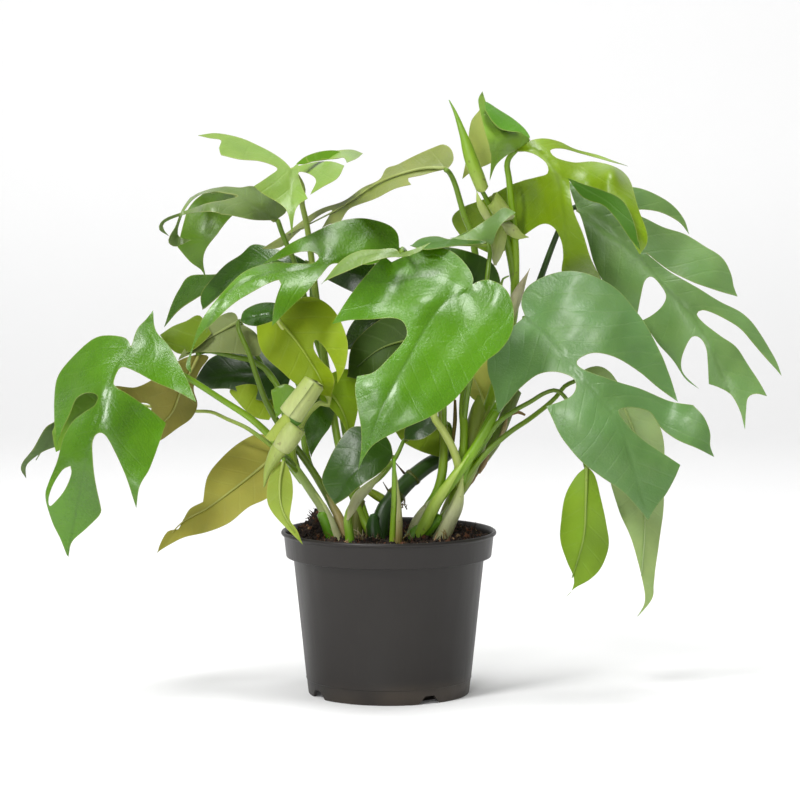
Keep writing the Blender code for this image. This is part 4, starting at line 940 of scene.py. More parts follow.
# %% The left leaves
leaf("left_shield", rib=[(131, 347, -42), (117, 367, -49), (108, 388, -59), (96, 425, -66),
     (86, 460, -66), (68, 556, -52)], margin=[
    [(126, 339), (112, 336), (97, 337), (84, 345), (68, 362), (58, 378), (54, 398), (54, 415),
     (57, 446)],
    [(62, 432), (68, 417), (76, 399), (88, 393), (98, 396), (95, 405), (84, 412), (73, 421), (64, 438),
     (58, 458), (49, 482), (46, 498), (52, 522), (61, 540), (68, 557)],
    [(72, 542), (86, 529), (99, 516), (101, 510)],
    [(97, 490), (93, 462), (92, 443), (97, 434), (105, 435), (116, 454), (128, 482), (136, 508)],
    [(140, 486), (150, 468), (159, 443), (166, 423)],
    [(150, 409), (128, 394), (116, 387), (114, 381), (121, 368), (134, 371), (155, 382), (176, 391),
     (196, 402)],
    [(187, 379), (170, 347), (156, 330), (153, 311)],
    [(146, 320), (137, 330), (131, 347)],
], bends=[(54, 400, -22), (97, 337, -30), (136, 508, -70), (166, 423, -48), (196, 402, -52),
   (153, 311, -10), (165, 355, -38), (46, 498, -52), (101, 510, -60)],
   window=[(70, 466), (71, 474), (66, 488), (58, 499), (50, 506), (49, 498), (54, 483), (62, 470)])
leaf("left_tail", rib=[(120, 402, 10), (85, 412, 0), (55, 434, -6), (26, 478, 8)], margin=[
    [(105, 388), (86, 387), (68, 400), (56, 420), (46, 428), (34, 447), (23, 461), (21, 470),
     (26, 478)],
    [(27, 464), (42, 452), (62, 444), (84, 438), (105, 424), (120, 402)],
], bends=[(80, 390, -8), (80, 438, 8)], flaps=[
    dict(margin=[
        [(92, 386), (74, 394), (60, 414), (52, 432)],
        [(54, 444), (56, 452)],
        [(66, 446), (84, 430), (104, 410), (108, 392)],
    ], bends=[(92, 386, -16), (56, 452, -12), (104, 412, -14)]),
])
leaf("left_olive", rib=[(198, 354, 8), (180, 390, -6), (165, 420, -14), (122, 442, -18)], margin=[
    [(180, 360), (160, 375), (136, 387), (114, 386), (98, 394)],
    [(112, 401), (132, 404), (143, 403), (150, 405), (151, 412), (142, 422), (122, 443)],
    [(142, 445), (160, 441), (178, 428), (191, 418), (197, 404), (194, 388), (200, 370), (208, 357),
     (198, 354)],
], bends=[(100, 394, -10), (195, 405, 10), (130, 395, -8)])
leaf("low_left_olive", rib=[(281, 452, 10), (250, 478, 4), (210, 508, -4), (182, 524, -8),
     (157, 553, -16)], margin=[
    [(272, 438), (258, 434), (243, 441), (222, 457), (208, 476), (203, 502)],
    [(190, 508), (183, 520), (178, 529), (168, 532), (160, 544), (157, 553)],
    [(170, 544), (184, 537), (205, 533), (228, 523), (248, 508), (268, 497), (280, 480), (281, 452)],
], bends=[(215, 465, 18), (255, 505, -10), (190, 508, 0)])

# %% [markdown]
# ## The upper left leaves
#
# Above them one stalk carries a curled leaf that shows its dark folded side,
# and a thin one carries a light young leaf whose lobes point both ways.

# %% The upper left leaves
leaf("top_left_dark", rib=[(276, 220, -8), (250, 203, -22), (225, 190, -12), (196, 196, 2)], margin=[
    [(286, 211), (279, 199), (266, 190), (252, 186), (240, 188), (225, 187)],
    [(208, 189), (193, 196), (181, 212), (175, 226), (169, 236), (168, 243), (176, 247), (192, 240)],
    [(180, 238), (177, 230), (184, 212), (196, 198), (212, 192), (228, 193), (238, 196), (226, 199),
     (205, 205), (186, 211), (168, 217), (160, 223), (159, 230), (168, 236)],
    [(163, 229), (164, 223), (180, 216), (205, 212), (228, 215), (252, 220), (276, 220)],
], bends=[(165, 222, -40), (190, 240, -10), (172, 236, -8), (168, 236, -36), (230, 214, -40),
   (205, 207, -42), (252, 186, -4), (212, 192, -10)], flaps=[
    dict(margin=[
        [(238, 196), (222, 192), (203, 194), (189, 207), (183, 224), (177, 247)],
        [(190, 262), (201, 270), (206, 279)],
        [(203, 262), (206, 249), (218, 233), (232, 216), (252, 204)],
    ], bends=[(252, 204, -21), (240, 200, -12), (203, 194, 14), (232, 216, 2), (206, 279, 10),
              (180, 245, 12), (203, 235, 6)]),
])
leaf("top_light", rib=[(291, 169, 0), (292, 190, -16), (292, 210, -30), (292, 236, -38)], margin=[
    [(279, 158), (258, 146), (238, 138), (216, 134), (198, 136)],
    [(210, 139), (221, 141), (219, 149), (221, 156)],
    [(238, 160), (260, 162), (277, 169), (268, 177), (254, 186)],
    [(266, 195), (281, 204), (288, 214), (292, 236)],
    [(294, 216), (298, 206), (308, 199)],
    [(303, 189), (299, 177), (299, 171), (309, 173), (316, 181), (311, 195)],
    [(323, 187), (337, 178), (344, 165)],
    [(332, 161), (316, 161), (303, 164), (298, 165), (302, 162), (318, 160), (334, 158), (344, 157),
     (347, 162)],
    [(357, 158), (363, 153)],
    [(352, 149), (336, 150), (318, 153), (304, 158), (295, 165), (291, 169)],
], bends=[(198, 136, 14), (221, 156, -6), (254, 186, -30), (308, 199, -26), (344, 165, -24),
   (311, 195, -24), (363, 153, 30), (330, 153, 22), (240, 148, 4), (335, 168, -22)], flaps=[
    dict(margin=[
        [(305, 157), (320, 152), (336, 151), (346, 156)],
        [(338, 159), (318, 161), (303, 165), (296, 164)],
    ], bends=[(296, 164, -10), (320, 153, 8), (346, 156, 20), (318, 160, 3)]),
])
leaf("upper_left_arch", rib=[(446, 170, 0), (420, 171, 2), (380, 184, 8), (336, 212, 16),
     (262, 249, 22)], margin=[
    [(453, 160), (451, 149), (443, 144), (432, 148), (414, 157), (398, 164), (386, 168), (379, 180),
     (362, 189), (344, 200), (322, 209), (300, 222), (280, 238), (262, 249)],
    [(282, 246), (297, 234), (315, 219), (332, 210), (326, 220), (322, 227)],
    [(331, 223), (338, 225), (348, 211), (358, 205), (378, 197), (396, 189), (411, 184)],
    [(408, 178), (424, 174), (446, 170)],
], bends=[(443, 144, 12), (411, 184, -14), (398, 164, 16), (300, 222, 26), (322, 227, 8),
   (338, 225, 4)])

# %% [markdown]
# ## The long lobed leaf
#
# This leaf lies nearly level, so the front view sees it as long strips: a
# bright upper blade and a lower lobe that droops away to the left.

# %% The long lobed leaf
leaf("long_lobes", rib=[(399, 250, 6), (355, 255, -10), (310, 267, -28), (262, 275, -44),
     (222, 300, -54), (190, 372, -56)], margin=[
    [(397, 234), (386, 224), (365, 218), (342, 221), (318, 230), (296, 241), (278, 252), (263, 263)],
    [(282, 258), (302, 252), (314, 252), (319, 257), (312, 263), (292, 264), (272, 262), (252, 268),
     (234, 281), (214, 302), (199, 326), (191, 350), (186, 366), (191, 373)],
    [(191, 356), (198, 338), (216, 320), (240, 299), (262, 287), (279, 280), (281, 284), (276, 298),
     (273, 312), (272, 326)],
    [(286, 312), (305, 294), (320, 277), (332, 264), (350, 264), (375, 264), (399, 250)],
], bends=[(365, 219, 8), (263, 263, -26), (318, 230, -4), (272, 326, -54), (320, 275, -34),
   (300, 300, -46), (350, 264, -14)])
leaf("pale_ridge", rib=[(400, 254, -58), (380, 253, -60), (350, 262, -62), (321, 284, -66)], margin=[
    [(394, 249), (378, 249), (362, 250), (347, 257), (334, 268), (321, 284)],
    [(338, 275), (356, 267), (376, 261), (390, 257), (404, 256), (418, 253), (431, 243)],
    [(416, 249), (400, 254)],
], bends=[(362, 250, -56), (350, 268, -66), (431, 243, -54)])

# %% [markdown]
# ## The heart leaf in the middle
#
# The broad heart leaf faces the front. One deep notch opens on its left, and
# other leaves show through it, with painted shade in their dark greens.

# %% The heart leaf in the middle
leaf("centre_heart", rib=[(466, 291, -52), (447, 300, -60), (430, 320, -70), (410, 355, -82),
     (385, 402, -92), (358, 471, -94)], margin=[
    [(474, 284), (487, 280), (500, 284), (510, 296), (514, 315), (511, 334), (500, 350), (484, 363),
     (468, 384), (452, 402), (430, 417), (400, 430), (376, 443), (365, 456), (358, 471)],
    [(361, 450), (361, 428), (357, 405), (355, 388), (357, 376)],
    [(374, 372), (389, 358), (402, 343), (407, 333), (403, 322), (392, 318), (370, 319), (350, 320),
     (332, 324)],
    [(345, 303), (360, 282), (374, 266), (385, 255)],
    [(388, 259), (392, 262)],
    [(410, 254), (430, 248), (448, 250), (462, 260), (472, 274), (473, 284), (466, 291)],
], bends=[(514, 315, -66), (332, 324, -72), (385, 255, -50), (392, 262, -40), (448, 250, -36),
   (484, 363, -78), (452, 402, -88), (357, 376, -86), (430, 417, -94), (500, 284, -58),
   (420, 300, -64)])
leaf("olive_heart", rib=[(277, 319, -16), (297, 342, -22), (315, 368, -24), (331, 397, -20)], margin=[
    [(288, 307), (302, 298), (316, 298), (329, 305), (339, 318), (347, 338), (348, 352), (344, 369),
     (337, 384)],
    [(336, 371), (330, 356), (322, 344), (315, 340), (314, 349), (321, 360), (330, 370), (334, 382),
     (331, 397)],
    [(314, 392), (296, 384), (280, 370), (265, 356), (258, 342), (256, 326)],
    [(266, 323), (277, 319)],
], bends=[(302, 298, -6), (348, 352, -36), (337, 384, -38), (256, 326, -8), (270, 355, -22),
   (314, 392, -26)])
leaf("olive_low", rib=[(318, 384, -5), (334, 398, -7), (345, 418, -7), (350, 441, -4)], margin=[
    [(330, 374), (346, 369), (357, 374), (360, 392), (357, 414), (350, 441)],
    [(343, 424), (332, 410), (321, 400), (318, 384)],
], bends=[(357, 380, 0)])
leaf("sinus_olive", rib=[(444, 338, -2), (415, 340, -6), (380, 350, -8), (347, 377, -4)], margin=[
    [(425, 318), (402, 310), (382, 318), (364, 332), (351, 350), (347, 377)],
    [(368, 381), (396, 376), (424, 362), (444, 338)],
], bends=[(395, 312, 10), (390, 378, -16)])
leaf("sinus_dark", rib=[(420, 300, 22), (395, 312, 20), (370, 330, 20), (344, 350, 24)], margin=[
    [(400, 292), (378, 303), (358, 317), (347, 332), (344, 350)],
    [(362, 348), (388, 338), (408, 322), (420, 300)],
], bends=[(380, 302, 30)], flaps=[
    dict(margin=[
        [(400, 280), (380, 266), (362, 262), (345, 265), (328, 280)],
        [(350, 291), (372, 300), (392, 314), (424, 302)],
    ], bends=[(424, 302, 25), (380, 266, 26), (345, 265, 24), (328, 280, 26), (350, 291, 22),
              (392, 314, 17)]),
])

# %% [markdown]
# ## Shaded leaves on the left
#
# These sit inside the plant. Little light reaches them, so they are dark and
# mostly hidden, but from the sides they fill the crown. The back one's dark
# green is painted shade.

# %% Shaded leaves on the left
leaf("dark_back_left", rib=[(292, 374, 34), (262, 372, 30), (230, 374, 28), (194, 382, 30)], margin=[
    [(276, 356), (250, 349), (226, 352), (208, 360), (194, 382)],
    [(206, 389), (230, 389), (248, 397), (266, 401), (284, 393), (292, 374)],
], bends=[(240, 352, 42), (255, 398, 24)], flaps=[
    dict(margin=[
        [(250, 384), (230, 390), (237, 401), (247, 412), (257, 418), (269, 420)],
        [(276, 408), (276, 392)],
    ], bends=[(276, 392, 34), (250, 384, 22), (230, 390, 26), (257, 418, 20), (269, 420, 20)]),
])
leaf("grey_left", rib=[(239, 323, 12), (222, 332, 8), (200, 344, 6), (178, 360, 8)], margin=[
    [(236, 314), (228, 312), (214, 320), (200, 332), (188, 343), (178, 360)],
    [(196, 353), (216, 352), (240, 354), (258, 356), (262, 344), (254, 332), (239, 323)],
], bends=[(228, 312, 22), (258, 356, 4)], flaps=[
    dict(margin=[
        [(200, 316), (186, 321), (173, 326), (160, 335)],
        [(168, 346), (180, 354), (194, 350), (212, 334)],
    ], bends=[(212, 334, 2), (200, 316, 18), (160, 335, 16), (180, 354, 13), (194, 350, 1)]),
])
leaf("grey_left_hood", rib=[(240, 321, 0), (254, 317, -5), (268, 314, -6), (282, 312, -3)], margin=[
    [(243, 311), (254, 305), (268, 303), (282, 304)],
    [(284, 314), (276, 322), (262, 326), (249, 325), (240, 321)],
], bends=[(262, 304, 7), (262, 326, 1)])
leaf("dark_wings", rib=[(306, 262, 28), (276, 260, 26), (240, 272, 26), (203, 310, 28)], margin=[
    [(290, 253), (270, 247), (253, 245), (241, 255), (226, 264), (215, 275), (203, 291), (201, 301),
     (203, 310)],
    [(214, 300), (232, 286), (256, 276), (282, 272), (306, 262)],
], bends=[(253, 246, 34), (240, 284, 18)], flaps=[
    dict(margin=[
        [(262, 258), (238, 270), (215, 274), (191, 276), (180, 288), (171, 306), (164, 327)],
        [(178, 311), (194, 300), (212, 292), (240, 288), (268, 278), (284, 262)],
    ], bends=[(284, 262, 22), (262, 258, 33), (268, 278, 16), (240, 272, 34), (205, 275, 46),
              (205, 296, 34), (164, 327, 44)]),
])

# %% [markdown]
# ## Small leaves near the soil
#
# Young shoots carry whole oval leaves, without notches.

# %% Small leaves near the soil
leaf("low_shiny", rib=[(322, 398, 2), (318, 415, -4), (314, 435, -6), (311, 457, -4)], margin=[
    [(334, 408), (331, 424), (322, 438), (311, 457)],
    [(306, 440), (304, 424), (307, 408), (322, 398)],
], bends=[(333, 410, 6), (305, 425, -8)])
leaf("low_oval", rib=[(393, 456, -44), (370, 462, -50), (350, 476, -52), (335, 505, -48)], margin=[
    [(390, 443), (382, 433), (366, 427), (350, 428), (336, 446), (327, 465), (322, 480), (327, 493),
     (335, 505)],
    [(346, 498), (360, 486), (376, 476), (387, 466), (393, 456)],
], bends=[(350, 428, -40), (360, 486, -58), (322, 480, -42)])
leaf("small_dark", rib=[(404, 440, -12), (414, 433, -16), (426, 427, -16), (438, 420, -12)], margin=[
    [(404, 430), (410, 420), (422, 414), (438, 418)],
    [(438, 427), (429, 435), (418, 440), (404, 440)],
], bends=[(412, 420, -8), (425, 438, -20)])
leaf("small_olive", rib=[(448, 424, 12), (430, 430, 10), (415, 433, 8), (396, 430, 10)], margin=[
    [(430, 414), (408, 414), (396, 426), (396, 433)],
    [(402, 441), (414, 448), (430, 454), (444, 456), (452, 440), (448, 424)],
], bends=[(420, 414, 18), (430, 454, 2)])

# %% [markdown]
# ## The great leaves on the right
#
# Two large cut leaves hang on the right. They are cooler in colour, with a
# bloom that dulls their shine.

# %% The great leaves on the right
leaf("right_great", rib=[(525, 317, -14), (547, 336, -28), (572, 367, -44), (600, 400, -56),
     (622, 432, -62), (648, 519, -62)], margin=[
    [(521, 302), (528, 286), (550, 274), (574, 271), (600, 279), (622, 294), (641, 318), (658, 347),
     (670, 377), (678, 402)],
    [(658, 388), (636, 369), (614, 357), (594, 353), (580, 358), (577, 364), (586, 371), (610, 379),
     (640, 389), (668, 401), (693, 405)],
    [(704, 417), (710, 432), (710, 446), (714, 457)],
    [(698, 449), (678, 440), (662, 428), (650, 413), (634, 408), (621, 409), (619, 414), (632, 430),
     (652, 446), (680, 465)],
    [(675, 478), (667, 493), (656, 507), (648, 520)],
    [(638, 508), (622, 491), (600, 476), (580, 460), (562, 438), (552, 418), (546, 406)],
    [(561, 401), (572, 395), (576, 386), (572, 377), (556, 372), (538, 375), (521, 388), (508, 403),
     (498, 413)],
    [(494, 392), (488, 372), (489, 354), (500, 338), (514, 326), (525, 317)],
], bends=[(574, 271, -18), (641, 318, -28), (678, 402, -34), (714, 457, -46), (693, 405, -44),
   (680, 465, -56), (546, 406, -52), (498, 413, -40), (489, 354, -24), (600, 476, -66),
   (620, 330, -36)])
leaf("right_far", rib=[(577, 209, 14), (608, 232, 8), (640, 258, 0), (666, 288, -6), (694, 318, -10),
     (712, 352, -16), (745, 430, -28)], margin=[
    [(572, 195), (567, 178)],
    [(576, 188), (588, 196), (604, 192), (620, 188), (636, 188), (654, 193), (671, 204), (683, 219),
     (689, 234)],
    [(678, 222), (660, 212), (642, 209), (634, 212), (646, 218), (664, 228), (686, 235), (704, 245),
     (722, 259), (731, 274), (734, 286), (738, 296)],
    [(716, 290), (694, 283), (672, 271), (656, 261), (646, 253), (650, 257), (668, 270), (692, 285),
     (720, 301), (742, 313), (760, 334), (774, 356), (781, 376)],
    [(768, 360), (752, 342), (736, 326), (716, 314), (703, 310), (697, 314), (704, 323), (720, 336),
     (738, 349), (752, 371), (767, 396)],
    [(756, 394), (748, 398), (746, 412), (745, 430)],
    [(740, 411), (731, 395), (720, 388), (709, 384)],
    [(708, 366), (706, 348), (700, 338), (692, 337), (685, 348), (681, 362), (684, 374), (699, 389)],
    [(686, 379), (674, 362), (658, 343), (641, 321)],
    [(652, 315), (662, 306), (666, 296), (661, 286), (652, 277), (645, 281), (641, 297), (637, 316)],
    [(622, 300), (606, 285), (595, 265), (588, 242), (582, 220), (577, 209)],
], bends=[(567, 178, 24), (689, 234, 34), (738, 296, 14), (781, 376, 4), (767, 396, -16), (637, 316, 6),
   (699, 389, -10), (655, 195, 32), (700, 262, 12), (740, 325, 2), (600, 270, 10)])

# %% [markdown]
# ## The arch at the top
#
# The topmost leaf arches over its own stalk. Its upper edge is rolled, and the
# shaded inside of the roll shows beside the bright top; that dark green is
# painted shade.

# %% The arch at the top
leaf("top_arch", rib=[(516, 150, -6), (538, 150, -12), (555, 172, -18), (563, 205, -20),
     (566, 240, -12), (566, 275, 2)], margin=[
    [(526, 142), (542, 139), (558, 142), (574, 149), (600, 155), (628, 166)],
    [(604, 159), (580, 153), (560, 149), (550, 151), (556, 158), (574, 162), (594, 161), (614, 166),
     (628, 178), (636, 202), (646, 228), (647, 243), (640, 254)],
    [(631, 240), (618, 221), (604, 205), (590, 200), (580, 194), (570, 180), (571, 196), (575, 215),
     (584, 238), (592, 260), (602, 281)],
    [(584, 280), (563, 275), (563, 256), (561, 240), (554, 227), (543, 224), (528, 233), (510, 247),
     (495, 256)],
    [(476, 247), (461, 236), (452, 219), (463, 207), (486, 198), (512, 184), (536, 177), (548, 173),
     (546, 163), (534, 154), (516, 150)],
], bends=[(542, 139, -2), (628, 166, 24), (600, 156, 14), (614, 168, -22), (640, 254, -44),
   (632, 200, -34), (602, 281, 12), (495, 256, 22), (452, 219, 30), (500, 205, 22), (536, 190, 4),
   (590, 190, -22)], flaps=[
    dict(margin=[
        [(530, 140)],
        [(524, 130), (512, 121), (498, 112), (488, 104), (483, 91)],
        [(479, 99), (481, 113), (485, 130), (490, 148), (490, 165), (489, 180)],
        [(495, 165), (506, 155), (516, 150), (526, 146)],
    ], bends=[(522, 146, -8), (530, 140, -6), (483, 91, -2), (489, 180, -16), (487, 130, -26),
              (505, 140, -22), (505, 116, 0), (516, 150, -6)]),
    dict(margin=[
        [(510, 140), (494, 120), (480, 110)],
        [(472, 121), (469, 138), (466, 158), (462, 179)],
        [(472, 171), (486, 165), (500, 158), (512, 152), (524, 148)],
    ], bends=[(524, 148, -7), (480, 110, 14), (462, 179, 22), (468, 140, 22), (500, 156, 6)]),
    dict(margin=[
        [(584, 184), (602, 190), (618, 197), (628, 208), (636, 228), (640, 250)],
        [(631, 240), (618, 221), (604, 206), (590, 201), (580, 195), (568, 178)],
    ], bends=[(568, 178, -30), (602, 190, -41), (628, 208, -49), (640, 250, -56), (618, 221, -49),
              (590, 201, -36)]),
    dict(margin=[
        [(492, 120), (500, 128), (510, 131), (521, 132)],
        [(530, 138), (525, 129), (513, 118), (499, 109), (486, 101), (486, 110)],
    ], bends=[(486, 110, -22), (500, 128, -26), (521, 132, -19), (500, 112, -12), (486, 101, -12)]),
])
leaf("mid_flat", rib=[(486, 243, -22), (460, 243, -28), (430, 243, -34), (410, 246, -37)], margin=[
    [(492, 234), (502, 223), (515, 214)],
    [(503, 209), (490, 218), (476, 227), (460, 234), (450, 239), (436, 237), (420, 239), (410, 246)],
    [(422, 249), (440, 248), (464, 246), (486, 243)],
], bends=[(515, 214, -16), (503, 210, -6), (436, 237, -22), (440, 248, -42)], flaps=[
    dict(margin=[
        [(462, 235), (478, 226), (491, 217), (504, 208), (516, 213)],
        [(503, 223), (496, 233), (492, 245)],
        [(484, 241), (468, 240), (450, 238)],
    ], bends=[(450, 238, -34), (478, 226, -32), (504, 209, -16), (516, 213, -20), (492, 245, -32),
              (484, 236, -36)]),
])
leaf("mid_back_olive", rib=[(474, 302, -14), (468, 285, -15), (458, 266, -14), (440, 246, -10)],
     margin=[
    [(490, 300), (500, 286), (496, 268), (484, 257), (462, 250), (440, 246)],
    [(444, 262), (452, 282), (462, 296), (474, 302)],
], bends=[(496, 270, -8)])
leaf("gap_olive", rib=[(487, 408, 26), (480, 388, 28), (470, 368, 30), (464, 346, 32)], margin=[
    [(470, 396), (458, 376), (464, 346)],
    [(482, 352), (493, 368), (496, 390), (487, 408)],
], bends=[(493, 368, 24), (458, 376, 34)])

# %% [markdown]
# ## Hanging leaves and a dried sheath
#
# Long narrow leaves hang low on both sides, and a rolled pale sheath is left
# from a leaf that opened.

# %% Hanging leaves and a dried sheath
leaf("hang_right", rib=[(587, 466, -30), (586, 500, -36), (583, 540, -34), (566, 597, -24)], margin=[
    [(576, 476), (566, 495), (561, 518), (561, 540), (567, 562), (574, 579), (571, 592), (566, 597)],
    [(575, 588), (590, 579), (602, 566), (609, 546), (606, 524), (601, 498), (595, 476), (587, 466)],
], bends=[(561, 530, -22), (609, 540, -24)])
leaf("hang_right_long", rib=[(575, 381, 2), (602, 380, -8), (626, 412, -16), (640, 460, -20),
     (644, 530, -18), (637, 617, -6)], margin=[
    [(584, 370), (598, 366), (610, 372), (622, 387), (642, 401), (656, 418), (663, 440), (664, 480),
     (662, 524), (656, 562), (654, 584), (652, 599), (637, 617)],
    [(645, 600), (641, 574), (631, 538), (619, 511), (611, 483), (607, 452), (604, 424), (594, 400),
     (575, 381)],
], bends=[(663, 450, -8), (611, 483, -4), (662, 524, -8)])
leaf("narrow_hanging", rib=[(284, 459, -31), (280, 485, -34), (283, 512, -44), (303, 545, -54)],
     margin=[
    [(273, 470), (268, 484), (267, 500), (272, 512), (285, 527), (303, 545)],
    [(297, 530), (290, 520), (291, 508), (293, 492), (291, 475), (284, 459)],
], bends=[(267, 495, -34), (293, 495, -36)])

# %% [markdown]
# ## The rolled sheath at the left
#
# One young leaf has dried before it opened. It hangs as two pale rolls that
# follow each other, with a green stalk between, and a loose strip at its left.
# A flat strip wound round a path gives the rolls their open, curled ends.

# %% The rolled sheath at the left
ROLL_GREENS = [(204, 216, 150), (198, 212, 140), (184, 202, 120)]

sheath_looks = [look(row) for row in LOOKS["rolled_sheath"]]
strip_bends = [(298, 404, -38), (284, 414, -37), (265, 437, -33), (284, 427, -36)]
strip_margin = [[(284, 414), (275, 424), (265, 437)], [(273, 441), (286, 429), (298, 404)]]
strip = sheet(strip_margin, strip_bends, strip_bends[:3], sheath_looks[0])
lobe_bends = [(300, 392, -28), (286, 384, -26), (271, 390, -24), (276, 418, -26), (290, 406, -28)]
lobe_margin = [[(286, 384), (271, 390)], [(276, 418)], [(290, 406), (300, 392)]]
lobe = sheet(lobe_margin, lobe_bends, lobe_bends[:3], sheath_looks[1])
rolls = [
    wrap([(290, 417, -35), (297, 407, -36), (306, 395, -37), (316, 381, -37)],
         (7.0, 6.7, 6.4, 6.0), ROLL_GREENS, 1.15, 0.1, (0.0, 0.0)),
    tube([(296, 424, -33), (293, 412, -35), (302, 398, -36)], (3.6, 3.6, 3.0),
         [(84, 140, 24), (70, 130, 20)]),
    wrap([(280, 450, -31), (284, 444, -32), (290, 435, -33), (297, 424, -33)],
         (4.6, 6.0, 6.0, 5.6), ROLL_GREENS, 1.1, 0.45, (0.0, 0.0)),
    tube([(264, 487, -31), (268, 470, -31), (275, 456, -31), (281, 447, -31), (288, 438, -32)],
         (0.4, 2.0, 4.0, 5.2, 5.2), [(166, 190, 96), (190, 206, 124)], "sheath"),
]
rolled = joined("rolled_sheath_leaf", rolls + [strip, lobe], FINISHES)
STALK_MEETS["rolled_sheath"] = (282, 450, -28)
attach(rolled, "root")
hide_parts("rolled_sheath")
print("rolled sheath triangles:", len(rolled.data.polygons))

# %% [markdown]
# ## The stalks of the left vine
#
# Stalks are round, a few millimetres thick and grow thicker towards the soil.
# Those of the left vine lean out low over the rim.

# %% The stalks of the left vine
stalks(
    "vine_left",
    ("left_shield", [(133, 349, -39), (146, 357, -35), (160, 364, -32), (188, 378, -28),
     (224, 401, -22), (250, 418, -18), (269, 435, -14), (286, 455, -11), (296, 469, -9), (311, 491, -8),
     (324, 512, -6), (333, 540, -6), (335, 590, -6)], (1.7, 1.9, 2.7, 3.2)),
    ("left_olive", [(201, 352, 13), (211, 351, 14), (237, 357, 14), (250, 360, 16), (263, 367, 16),
     (272, 377, 15), (279, 390, 12), (284, 410, 6), (288, 435, 0), (297, 470, -8)], (1.5, 1.9, 2.3)),
    ("low_left_olive", [(283, 453, 9), (290, 466, 2), (302, 482, -6)], (1.6, 1.8)),
    ("grey_left_hood", [(238, 323, 1), (239, 330, -4), (244, 342, -6), (250, 356, -6), (257, 377, -6),
     (265, 399, -6), (275, 418, -6), (284, 432, -6), (292, 442, -4), (310, 467, 0), (320, 483, 1),
     (332, 505, 1), (343, 535, -3), (336, 590, -6)], (1.5, 1.9, 2.4, 2.6)),
    ("grey_left", [(241, 324, 13), (246, 334, 16), (254, 350, 18), (264, 368, 19), (275, 383, 13)],
     (1.3, 1.5)),
    ("dark_back_left", [(294, 376, 34), (299, 388, 28), (302, 410, 20), (303, 430, 12), (305, 450, 4),
     (312, 470, 0)], (1.4, 1.8)),
    ("olive_heart", [(329, 398, -20), (320, 403, -21), (311, 410, -20), (303, 422, -18),
     (297, 438, -15), (293, 452, -12), (296, 468, -9)], (1.5, 1.8)),
    ("low_shiny", [(321, 396, 5), (314, 408, 7), (308, 425, 7), (306, 445, 5), (311, 468, 0)],
     (1.2, 1.5)),
    ("left_tail", [(122, 401, 12), (135, 404, 14), (160, 408, 16), (191, 411, 18), (211, 412, 14),
     (227, 419, 9), (245, 427, 4), (260, 437, 0), (273, 447, -4), (290, 463, -9)], (0.8, 1.1, 1.6)),
    ("rolled_sheath", [(280, 454, -27), (283, 456, -24), (287, 458, -17), (294, 466, -10)], (1.3, 1.8)),
    ("narrow_hanging", [(284, 459, -31), (287, 462, -25), (290, 465, -17), (297, 472, -9)], (1.2, 1.7)),
    ("olive_low", [(319, 384, -4), (317, 389, 2), (316, 400, 6), (314, 408, 7)], (1.2, 1.4)),
    extras=[
        tube([(321, 513, -7), (327, 524, -7), (333, 540, -6), (335, 552, -6)], (3.0, 3.9, 4.3, 4.2),
            [(120, 176, 60), (76, 152, 24)]),
        wrap([(338, 548, -10), (330, 527, -11), (322, 510, -12), (313, 495, -12)], (4.4, 4.2, 3.8, 2.4),
            PALE_SHEATH, 0.34, 0.3, (0.2, 0.7)),
        wrap([(348, 549, -6), (342, 528, -5), (335, 511, -3), (326, 495, -1)], (3.6, 3.5, 3.1, 2.2),
            DRY_SHEATH, 0.45, 0.1),
        *tuft((338, 541, -9), 12, 17, DRY_FIBRES, 3),
    ],
)

# %% [markdown]
# ## The middle vine
#
# A thick bare stem bends out of the soil here, and long thin stalks rise behind
# the heart leaf.

